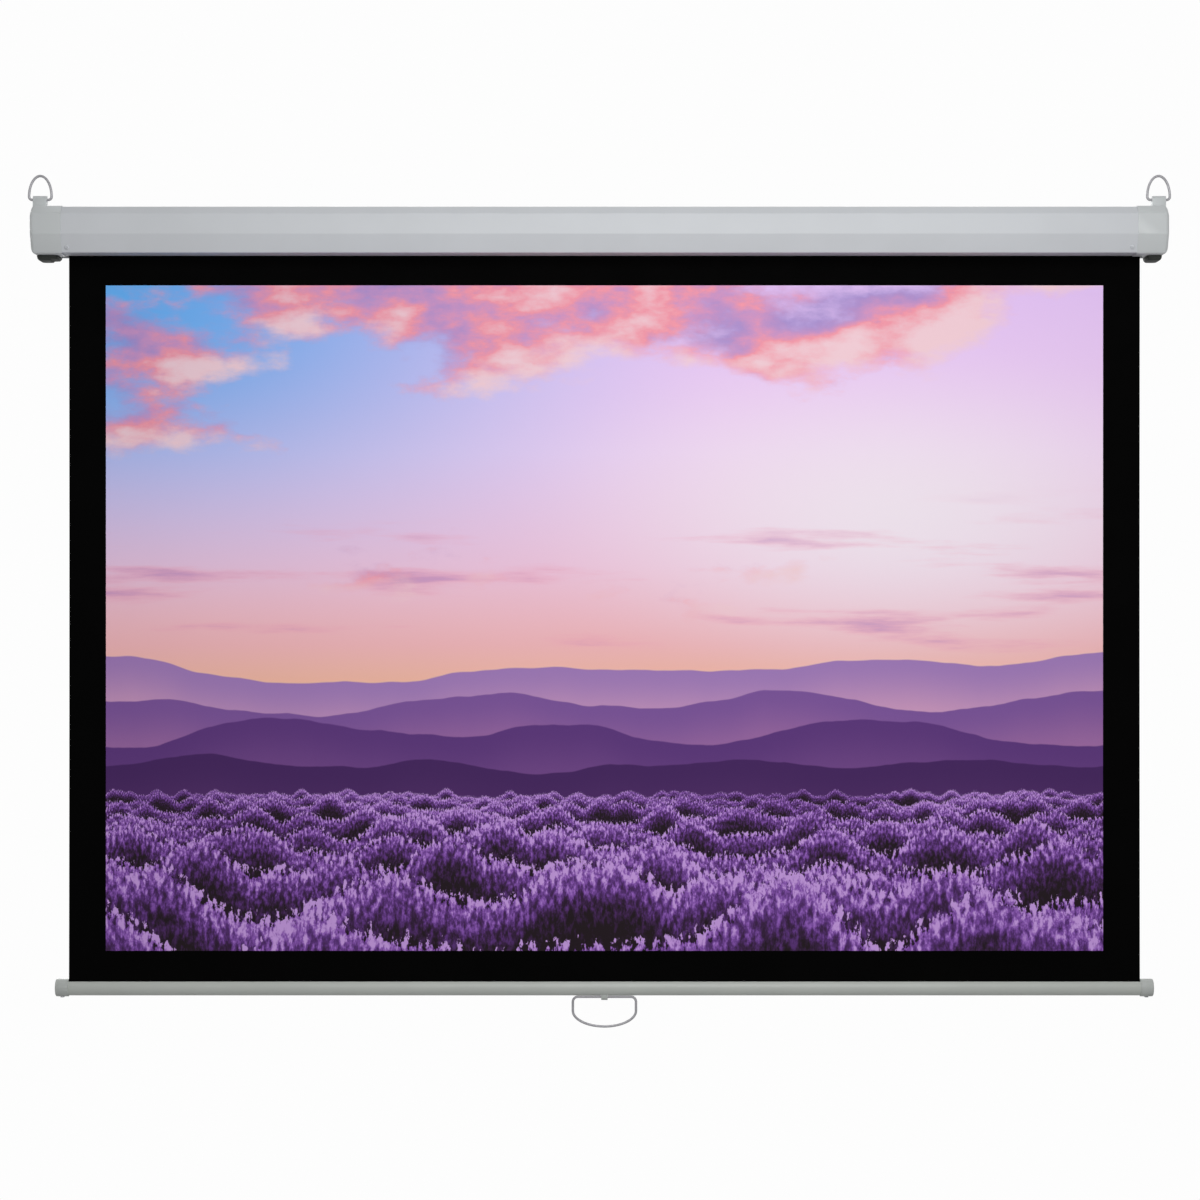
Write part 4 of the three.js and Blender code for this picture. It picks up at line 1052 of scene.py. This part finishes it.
@dataclass
class HangingCase(SubAssembly):
    """The folded case with its end caps, bumpers, brackets and screws.

    Attributes:
        wall: the sheet's thickness.
        bend: the outer radius of its bends.
        lip_bend: the outer radius of the bends beside the slot.
        lip_height: how far the sheet's edges turn up beside the slot.
        slot_width: how wide the slot is.
        top_drop: how far the upper facets come down.
        top_run: how deep they are.
        face_height: the height of the upright facets.
        bottom_run: how deep the lower facets are.
        bend_steps: how many points a bend has.
        cap_edge: how wide the eased edges of the end caps are.
        bumper_edge: how wide those of the bumpers are.
    """

    wall: float = 0.001
    bend: float = 0.003
    lip_bend: float = 0.0012
    lip_height: float = 0.006
    slot_width: float = 0.015
    top_drop: float = 0.0107
    top_run: float = 0.009
    face_height: float = 0.028
    bottom_run: float = 0.010
    bend_steps: int = 8
    cap_edge: float = 0.0003
    bumper_edge: float = 0.0005

    def half_section(self) -> list[Vector]:
        """Draws one side of the section, from the underside to the top, as depth and height.

        Returns:
            Its four corners, on the back half.
        """
        low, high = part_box("case_shell")
        crease_top = high.z - self.top_drop
        return [
            Vector((high.y - self.bottom_run, low.z, 0)),
            Vector((high.y, crease_top - self.face_height, 0)),
            Vector((high.y, crease_top, 0)),
            Vector((high.y - self.top_run, high.z, 0)),
        ]

    def strip(self) -> list[Corner]:
        """Draws the folded strip's outer side, from the back lip round to the front one.

        Returns:
            Its corners, each with its bend.
        """
        back = self.half_section()
        front = [Vector((-corner.x, corner.y, 0)) for corner in reversed(back)]
        middle = sum(cloth_depth()) / 2
        floor = back[0].y
        slot = [middle + side * self.slot_width / 2 for side in (1, -1)]
        tips = [Vector((edge, floor + self.lip_height, 0)) for edge in slot]
        feet = [Vector((edge, floor, 0)) for edge in slot]
        corners = [(tips[0], 0.0), (feet[0], self.lip_bend)]
        corners += [(corner, self.bend) for corner in back + front]
        return corners + [(feet[1], self.lip_bend), (tips[1], 0.0)]

    def facet_ways(self) -> tuple[Vector, Vector]:
        """Finds the ways that the lower facets face.

        Returns:
            The front one's way and the back one's.
        """
        lower, upper = self.half_section()[:2]
        run, rise = upper.x - lower.x, upper.y - lower.y
        return Vector((0, -rise, -run)).normalized(), Vector((0, rise, -run)).normalized()

    def shell(self) -> None:
        """Folds the case from one strip of sheet."""
        low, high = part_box("case_shell")
        tree = GeometryTree("folded_case")
        path = tree.bent_path(self.bend_steps)
        wall = tree.size("Sheet thickness", self.wall)
        sheet = tree.sheet_along(path, wall, tree.size("Case length", high.x - low.x), -0.5)
        tree.close(sheet, CASE_PAINT)
        piece = baked(polyline("case_section", self.strip()), tree, "folded_case")
        self.mount(piece, "casing", Slot.CASE, "case_shell")

    def build(self) -> None:
        """Builds the case and all that is fixed to it."""
        self.shell()
        for side in ("left", "right"):
            cap = refined(f"{side}_end_cap", CAP_PLASTIC, self.cap_edge)
            self.mount(cap, "casing", Slot.CAP, f"{side}_end_cap")
            # The dark bumpers are partly real rubber and partly painted shade under the end caps.
            bumper = refined(f"{side}_bumper", BUMPER_RUBBER_AND_SHADE, self.bumper_edge)
            self.mount(bumper, "casing", Slot.RUBBER, f"{side}_bumper")
        self.coat(PLATED_STEEL, "left_bracket", "right_bracket")
        front, back = self.facet_ways()
        case_screws, bracket_screws = {}, {}
        for side, outward in (("left", -1), ("right", 1)):
            case_screws[f"{side}_case_screw_front"] = front
            case_screws[f"{side}_case_screw_back"] = back
            for height in ("upper", "lower"):
                bracket_screws[f"{side}_bracket_screw_{height}"] = Vector((outward, 0, 0))
        CrossScrews(finish=CASE_PAINT, slot=Slot.CASE).row("case_screws", "casing", case_screws)
        CrossScrews().row("bracket_screws", "casing", bracket_screws)


@dataclass
class BentWire(SubAssembly):
    """A piece bent from one round wire.

    Attributes:
        wire: the wire's thickness.
        sides: how many sides its section has.
        bend_steps: how many points a bend has.
    """

    wire: float
    sides: int = 20
    bend_steps: int = 10

    def half(self) -> list[Corner]:
        """Draws half the wire, from its foot, across and up."""
        raise NotImplementedError

    def quarter_oval(
        self, half_width: float, level: float, rise: float, steps: int
    ) -> list[Corner]:
        """Draws a quarter of an oval, from its widest place to its middle.

        Args:
            half_width: how far its widest place lies from the middle.
            level: the height of this place above the wire's feet.
            rise: how far the oval goes up from there, or down if below 0.
            steps: how many points it has.

        Returns:
            Its points after the first one.
        """
        turns = [math.pi / 2 * step / steps for step in range(1, steps + 1)]
        across = [half_width * math.cos(turn) for turn in turns]
        up = [level + rise * math.sin(turn) for turn in turns]
        return [(Vector((x, 0, z)), 0.0) for x, z in zip(across, up)]

    def bend_up(self, name: str, at: Vector) -> bpy.types.Object:
        """Bends the wire and sets it in its place.

        Args:
            name: the finished piece's name.
            at: the middle between its feet.

        Returns:
            The finished wire.
        """
        half = self.half()
        other = [(Vector((-place.x, 0, place.z)), bend) for place, bend in reversed(half[:-1])]
        path = [(place + at, bend) for place, bend in half + other]
        tree = GeometryTree(name)
        radius = tree.math("MULTIPLY", tree.size("Wire thickness", self.wire), 0.5)
        bent = tree.bent_path(self.bend_steps)
        tree.close(tree.round_along(bent, radius, 1.0, self.sides), PLATED_WIRE)
        return baked(polyline(name + "_path", path), tree, name)


@dataclass
class HangingRings(BentWire):
    """The two rings that the screen hangs from.

    Attributes:
        width: a ring's width over all.
        foot_bend: the radius of the bends into the feet, on the wire's middle.
        foot_start: how far from the middle a foot ends.
        crown_steps: how many points half the crown has.
    """

    wire: float = 0.0036
    width: float = 0.035
    foot_bend: float = 0.0045
    foot_start: float = 0.0025
    crown_steps: int = 24

    def half(self) -> list[Corner]:
        """Draws half a ring: a foot, a bend, and a quarter of an oval up to the crown.

        Returns:
            Its corners, each with its bend.
        """
        half_width = (self.width - self.wire) / 2
        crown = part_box("left_hanging_ring")[1].z - place_of("left_ring_swing").z - self.wire / 2
        line = [(Vector((self.foot_start, 0, 0)), 0.0)]
        line.append((Vector((half_width, 0, 0)), self.foot_bend))
        rise = crown - self.foot_bend
        return line + self.quarter_oval(half_width, self.foot_bend, rise, self.crown_steps)

    def build(self) -> None:
        """Builds both rings."""
        for side in ("left", "right"):
            ring = self.bend_up(f"{side}_wire_ring", place_of(f"{side}_ring_swing"))
            self.mount(ring, f"{side}_ring", Slot.WIRE, f"{side}_hanging_ring")


@dataclass
class PullHandle(BentWire):
    """The wire handle under the bottom bar.

    Attributes:
        corner: the radius of its upper corners, on the wire's middle.
        side: the length of its straight sides.
        end_gap: how far apart its two feet end inside the clip.
        bow_steps: how many points half the grip has.
    """

    wire: float = 0.0035
    corner: float = 0.007
    side: float = 0.0125
    end_gap: float = 0.001
    bow_steps: int = 24

    def half(self) -> list[Corner]:
        """Draws half the handle: a straight foot, a round corner, a side and half the bowed grip.

        Returns:
            Its corners, each with its bend.
        """
        low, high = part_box("pull_handle")
        half_width = (high.x - low.x - self.wire) / 2
        knee = -self.corner - self.side
        bow = place_of("handle_swing").z - low.z - self.wire / 2 + knee
        line = [(Vector((self.end_gap / 2, 0, 0)), 0.0), (Vector((half_width, 0, 0)), self.corner)]
        line.append((Vector((half_width, 0, knee)), 0.0))
        return line + self.quarter_oval(half_width, knee, -bow, self.bow_steps)

    def build(self) -> None:
        """Builds the handle."""
        handle = self.bend_up("wire_pull_handle", place_of("handle_swing"))
        self.mount(handle, "pull_handle", Slot.WIRE, "pull_handle")


@dataclass
class RollerWorks(SubAssembly):
    """The roller with its ratchet, spring and the turns of cloth that stay on it.

    Attributes:
        turns: how many turns of cloth are left.
        pitch: the distance from one turn to the next.
        inner_radius: where the cloth's innermost turn starts.
        free_angle: how far before the hanging cloth the outermost turn ends, which leaves the bar's
            border room to come up beside it.
        turn_steps: how many points a turn has.
    """

    turns: float = 1.4
    pitch: float = 0.0012
    inner_radius: float = 0.0173
    free_angle: float = math.radians(5)
    turn_steps: int = 72

    def wound_cloth(self) -> None:
        """Winds the cloth that stays on the roller."""
        low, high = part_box("wound_cloth")
        front, back = cloth_depth()
        thickness = back - front
        inner = self.inner_radius + thickness / 2
        tree = GeometryTree("wound_cloth_turns")
        inputs = {
            "Resolution": tree.size("Points in a turn", self.turn_steps),
            "Rotations": tree.size("Turns", self.turns),
            "Start Radius": tree.size("Outer radius", inner + self.pitch * self.turns),
            "End Radius": tree.size("Inner radius", inner),
            "Height": 0.0,
            "Reverse": True,
        }
        spiral = tree.result("GeometryNodeCurveSpiral", inputs)
        wall = tree.size("Cloth thickness", thickness)
        sheet = tree.sheet_along(spiral, wall, tree.size("Cloth width", high.x - low.x), 0.0)
        axis = place_of("roller_spin")
        place = (((low + high) / 2).x, axis.y, axis.z)
        inputs = {"Geometry": sheet, "Rotation": (self.free_angle, 0.0, 0.0), "Translation": place}
        tree.close(tree.result("GeometryNodeTransform", inputs), WOUND_CLOTH)
        piece = baked(polyline("roller_line", [(Vector(place), 0.0)]), tree, "wound_cloth_turns")
        self.mount(piece, "roller", Slot.BLACK, "wound_cloth")

    def build(self) -> None:
        """Builds the turns of cloth and dresses the works."""
        self.wound_cloth()
        self.coat(MILL_ALUMINIUM, "roller_tube")
        self.coat(DARK_MOULDING, "ratchet_head", "roller_plug", "spring_anchor", "roller_spline")
        self.coat(PLATED_STEEL, "tang_shaft", "roller_spring", "idle_pin")
        self.coat(PLATED_STEEL, "upper_pawl", "lower_pawl", "upper_pawl_pin", "lower_pawl_pin")


@dataclass
class ScreenCloth(SubAssembly):
    """The hanging cloth: a projected picture, painted as colour, in a black border in front, and a
    black back.

    Attributes:
        mesh_step: how far apart the mesh's lines are.
        wave: the height of the slight waves across the cloth.
        wave_length: how far apart these are.
        wave_lean: how far the waves lean over the cloth's height, in radians.
        ripple: the height of the finer waves between them, as a share of theirs.
        ripple_rate: how much finer these are.
        ripple_lean: how far they lean the other way.
        edge_curl: how far the side edges lean back at half height.
        curl_power: how close to the edges this stays.
        fade: how softly all of it fades towards the case and the bar.
    """

    mesh_step: float = 0.024
    wave: float = 0.0005
    wave_length: float = 0.43
    wave_lean: float = 1.4
    ripple: float = 0.5
    ripple_rate: float = 2.3
    ripple_lean: float = 2.0
    edge_curl: float = 0.0022
    curl_power: int = 7
    fade: float = 0.8

    def stops(self, axis: int) -> list[float]:
        """Returns where the edges of cloth and picture lie across, on axis 0, or up, on axis 2."""
        border = frame["nodes"]["black_border"].data
        return sorted({round(vertex.co[axis], 5) for vertex in border.vertices})

    def lines(self, stops: Sequence[float]) -> list[float]:
        """Spaces the mesh's lines, with one on each edge of cloth and picture.

        Args:
            stops: these edges' places, in rising order.

        Returns:
            The lines' places.
        """
        lines = [stops[0]]
        for start, end in zip(stops, stops[1:]):
            steps = max(2, round((end - start) / self.mesh_step))
            lines += [start + (end - start) * (step + 1) / steps for step in range(steps)]
        return lines

    def sway(self, x: float, z: float) -> float:
        """Works out how far the cloth stands back from flat.

        Its waves lie mostly behind flat, so that the raised cloth clears the turns on the roller.

        Args:
            x: the place across.
            z: the place up.

        Returns:
            The distance, towards +Y.
        """
        left, _, _, right = self.stops(0)
        bottom, _, _, top = self.stops(2)
        down = (top - z) / (top - bottom)
        free = math.sin(math.pi * min(max(down, 0.0), 1.0)) ** self.fade
        aside = abs(x - (left + right) / 2) / ((right - left) / 2)
        turn = 2 * math.pi * x / self.wave_length
        ripples = math.sin(self.ripple_rate * turn - self.ripple_lean * down)
        waves = 1 + math.sin(turn + self.wave_lean * down) + self.ripple * ripples
        return free * (self.wave * waves + self.edge_curl * aside**self.curl_power)

    def length(self, name: str, heights: Sequence[float]) -> bpy.types.Object:
        """Lays out a length of the cloth as two skins joined round their edges.

        Args:
            name: the name of the piece.
            heights: the edges of cloth and picture that it has, from the lowest up.

        Returns:
            The piece, dressed.
        """
        xs, zs = self.lines(self.stops(0)), self.lines(heights)
        columns, rows = len(xs), len(zs)
        depths = cloth_depth()
        places = [(x, depth + self.sway(x, z), z) for depth in depths for z in zs for x in xs]

        def index(side: int, row: int, column: int) -> int:
            """Returns a point's number."""
            return (side * rows + row) * columns + column

        faces = []
        for side in (0, 1):
            for row in range(rows - 1):
                for column in range(columns - 1):
                    loop = [index(side, row, column), index(side, row, column + 1)]
                    loop += [index(side, row + 1, column + 1), index(side, row + 1, column)]
                    faces.append(loop if side == 0 else loop[::-1])
        ring = [(0, column) for column in range(columns)]
        ring += [(row, columns - 1) for row in range(1, rows)]
        ring += [(rows - 1, column) for column in range(columns - 2, -1, -1)]
        ring += [(row, 0) for row in range(rows - 2, 0, -1)]
        for (row, column), (next_row, next_column) in zip(ring, ring[1:] + ring[:1]):
            near = [index(0, next_row, next_column), index(0, row, column)]
            faces.append(near + [index(1, row, column), index(1, next_row, next_column)])
        mesh = bpy.data.meshes.new(name)
        mesh.from_pydata(places, [], faces)
        self.dress(mesh, (rows - 1) * (columns - 1))
        piece = shown(name, mesh)
        mesh.shade_smooth()
        mesh.set_sharp_from_angle(angle=CREASE_ANGLE)
        return piece

    def dress(self, mesh: bpy.types.Mesh, front_faces: int) -> None:
        """Gives the cloth its map and materials.

        Args:
            mesh: the cloth's mesh.
            front_faces: how many of its first faces belong to the front.
        """
        left, window_left, window_right, _ = self.stops(0)
        bottom, window_bottom, window_top, _ = self.stops(2)
        # Painted projector light: the projected picture is painted into the cloth's own colour.
        picture = PaintedProjectionPicture(
            "painted_projection_picture",
            Tone(238, 238, 236),
            roughness=0.82,
            specular=0.12,
            grain_size=0.0008,
            window_low=(window_left - left, window_bottom - bottom),
            window_height=window_top - window_bottom,
        )
        uv = mesh.uv_layers.new(name=CLOTH_MAP)
        for loop in mesh.loops:
            place = mesh.vertices[loop.vertex_index].co
            uv.data[loop.index].uv = (place.x - left, place.z - bottom)
        layers = []
        for face in mesh.polygons:
            x, _, z = face.center
            lit = window_left < x < window_right and window_bottom < z < window_top
            front = picture if lit else BLACK_PRINT
            layers.append(front if face.index < front_faces else BLACK_BACKING)
        used = [finish for finish in (picture, BLACK_PRINT, BLACK_BACKING) if finish in layers]
        for finish in used:
            mesh.materials.append(finish.material())
        for face, layer in zip(mesh.polygons, layers):
            face.material_index = used.index(layer)

    def build(self) -> None:
        """Hangs the cloth in two: its lower border rides on the bar, and the rest hangs from the
        case.
        """
        bottom, border_top, window_top, top = self.stops(2)
        border = self.length("lower_border", [bottom, border_top])
        self.mount(border, "bottom_bar", Slot.BLACK, "black_border", "black_backing")
        cloth = self.length("screen_cloth", [border_top, window_top, top])
        self.mount(cloth, "casing", Slot.WHITE, "white_screen", "black_border", "black_backing")
        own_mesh(cloth)


@dataclass
class BottomBar(SubAssembly):
    """The oval bar with its end plugs, spline, screws and handle clip.

    Attributes:
        plug_edge: how wide the eased edges of the plugs and the clip are.
    """

    plug_edge: float = 0.0003

    def build(self) -> None:
        """Builds the bar and dresses what it holds."""
        self.mount(refined("bottom_bar", BAR_PAINT), "bottom_bar", Slot.BAR, "bottom_bar")
        for node in ("left_bar_plug", "right_bar_plug", "handle_clip"):
            piece = refined(node, PLUG_PLASTIC, self.plug_edge)
            self.mount(piece, "bottom_bar", Slot.CAP, node)
        self.coat(DARK_MOULDING, "bar_spline")
        down = Vector((0, 0, -1))
        screws = {f"{side}_plug_screw": down for side in ("left", "right")}
        CrossScrews(height=0.0012, recess_depth=0.0007).row("plug_screws", "bottom_bar", screws)


@dataclass(frozen=True)
class Lamp:
    """A wide soft lamp that is aimed at a place on the object's box.

    Attributes:
        name: its name.
        side: this place, each part from -1 at the box's low side to 1 at its high one.
        shift: how far from there it is aimed.
        offset: where it hangs, from what it is aimed at.
        size: how wide and how high it is.
        share: its light on a white surface that faces it, as a share of full white.
    """

    name: str
    side: tuple[float, float, float]
    shift: tuple[float, float, float]
    offset: tuple[float, float, float]
    size: tuple[float, float]
    share: float


KEY_LAMP = Lamp("key_lamp", (0, 0, 0), (0.22, 0, 0.3), (0, -2.1, 0.42), (0.9, 1.5), 0.73)
BACK_LAMP = Lamp("back_lamp", (0, 0, 0), (-0.4, 0, 0), (-0.6, 3.2, 1.2), (2.4, 2.0), 0.5)
TOP_LAMP = Lamp("top_lamp", (0, 0, 1), (0, 0, 0), (0, 1.3, 2.0), (2.4, 1.2), 0.3)
LEFT_LAMP = Lamp("left_lamp", (-1, 0, 0), (0, 0, 0), (-2.4, 0, 0.8), (1.4, 1.4), 0.14)
RIGHT_LAMP = replace(LEFT_LAMP, name="right_lamp", side=(1, 0, 0), offset=(2.4, 0, 0.8))


@dataclass
class Studio:
    """A plain pale studio, with the camera where the photograph was taken from.

    Attributes:
        camera_place: where the camera stands.
        sensor: its sensor's width, in millimetres.
        lens: its lens, in millimetres.
        background: how bright the background shows.
        ambient: how bright the room is for the object.
        floor_height: how high the floor lies, just below the photograph's view.
        floor_reach: how far it reaches on every side.
        floor_glow: how bright the floor shows before any light falls on it.
        lamps: the lamps.
    """

    camera_place: tuple[float, float, float] = (0.0008, -3.5856, -0.5897)
    sensor: float = 36
    lens: float = 77.1
    background: float = 0.983
    ambient: float = 0.22
    floor_height: float = -3.0
    floor_reach: float = 6.5
    floor_glow: float = 0.56
    lamps: tuple[Lamp, ...] = (KEY_LAMP, BACK_LAMP, TOP_LAMP, LEFT_LAMP, RIGHT_LAMP)

    def camera(self) -> None:
        """Sets up the camera, level and straight ahead."""
        data = bpy.data.cameras.new("camera")
        data.sensor_width = self.sensor
        data.lens = self.lens
        camera = shown("camera", data)
        camera.location = self.camera_place
        camera.rotation_euler = (math.pi / 2, 0, 0)
        bpy.context.scene.camera = camera

    def seen(self, tree: NodeTree) -> Plug:
        """Tells the rays that show the studio itself from those that light the object.

        Args:
            tree: the floor's or the room's tree.

        Returns:
            1 for a ray that shows it, straight, mirrored or through glass.
        """
        rays = tree.add("ShaderNodeLightPath").outputs
        mirrored = tree.math("MAXIMUM", rays["Is Glossy Ray"], rays["Is Transmission Ray"])
        return tree.math("MAXIMUM", rays["Is Camera Ray"], mirrored)

    def room(self) -> None:
        """Makes a room that lights the object softly and shows as a pale background."""
        world = bpy.data.worlds.new("pale_room")
        world.use_nodes = True
        bpy.context.scene.world = world
        tree = NodeTree(world.node_tree)
        world.node_tree.nodes.clear()
        shaders = {0: self.seen(tree)}
        for socket, strength in ((1, self.ambient), (2, self.background)):
            inputs = {"Color": WHITE_LIGHT, "Strength": strength}
            shaders[socket] = tree.result("ShaderNodeBackground", inputs)
        both = tree.result("ShaderNodeMixShader", shaders)
        tree.add("ShaderNodeOutputWorld", {"Surface": both})

    def hang(self, lamp: Lamp) -> None:
        """Hangs a lamp.

        Args:
            lamp: the lamp.
        """
        low, high = CAD_BOX
        reach = Vector(part * side for part, side in zip((high - low) / 2, lamp.side))
        aim = (low + high) / 2 + reach + Vector(lamp.shift)
        place = aim + Vector(lamp.offset)
        way = aim - place
        data = bpy.data.lights.new(lamp.name, "AREA")
        data.shape = "RECTANGLE"
        data.size, data.size_y = lamp.size
        data.energy = lamp.share * math.pi**2 * way.length_squared
        holder = shown(lamp.name, data)
        holder.location = place
        holder.rotation_euler = way.to_track_quat("-Z", "Y").to_euler()
        holder.visible_camera = False

    def floor_finish(self) -> bpy.types.Material:
        """Makes a pale floor that keeps shadows and can't be seen from below.

        Returns:
            The floor's material.
        """
        material = PALE_FLOOR.material()
        tree = NodeTree(material.node_tree)
        surface = tree.tree.nodes["Principled BSDF"]
        surface.inputs["Emission Color"].default_value = WHITE_LIGHT
        glow = tree.math("MULTIPLY", self.seen(tree), self.floor_glow)
        tree.tree.links.new(glow, surface.inputs["Emission Strength"])
        clear = tree.result("ShaderNodeBsdfTransparent")
        below = tree.add("ShaderNodeNewGeometry").outputs["Backfacing"]
        both = tree.result("ShaderNodeMixShader", {0: below, 1: surface.outputs[0], 2: clear})
        tree.tree.links.new(both, tree.tree.nodes["Material Output"].inputs["Surface"])
        return material

    def floor(self) -> None:
        """Lays the floor."""
        data = bpy.data.meshes.new("floor")
        reach = self.floor_reach
        sides = [(-reach, -reach), (reach, -reach), (reach, reach), (-reach, reach)]
        corners = [(*side, self.floor_height) for side in sides]
        data.from_pydata(corners, [], [(0, 1, 2, 3)])
        data.materials.append(self.floor_finish())
        shown("floor", data)

    def build(self) -> None:
        """Sets up camera, room, lamps and floor."""
        bpy.context.scene.view_settings.view_transform = "Standard"
        self.camera()
        self.room()
        for lamp in self.lamps:
            self.hang(lamp)
        self.floor()
        LOG.info("studio is set up")


def main() -> None:
    """Builds the screen from the case down."""
    logging.basicConfig(level=logging.INFO, format="%(name)s: %(message)s")
    Studio().build()
    HangingCase().build()
    HangingRings().build()
    RollerWorks().build()
    ScreenCloth().build()
    BottomBar().build()
    PullHandle().build()
    LOG.info("the screen is built")


if __name__ == "__main__":
    main()
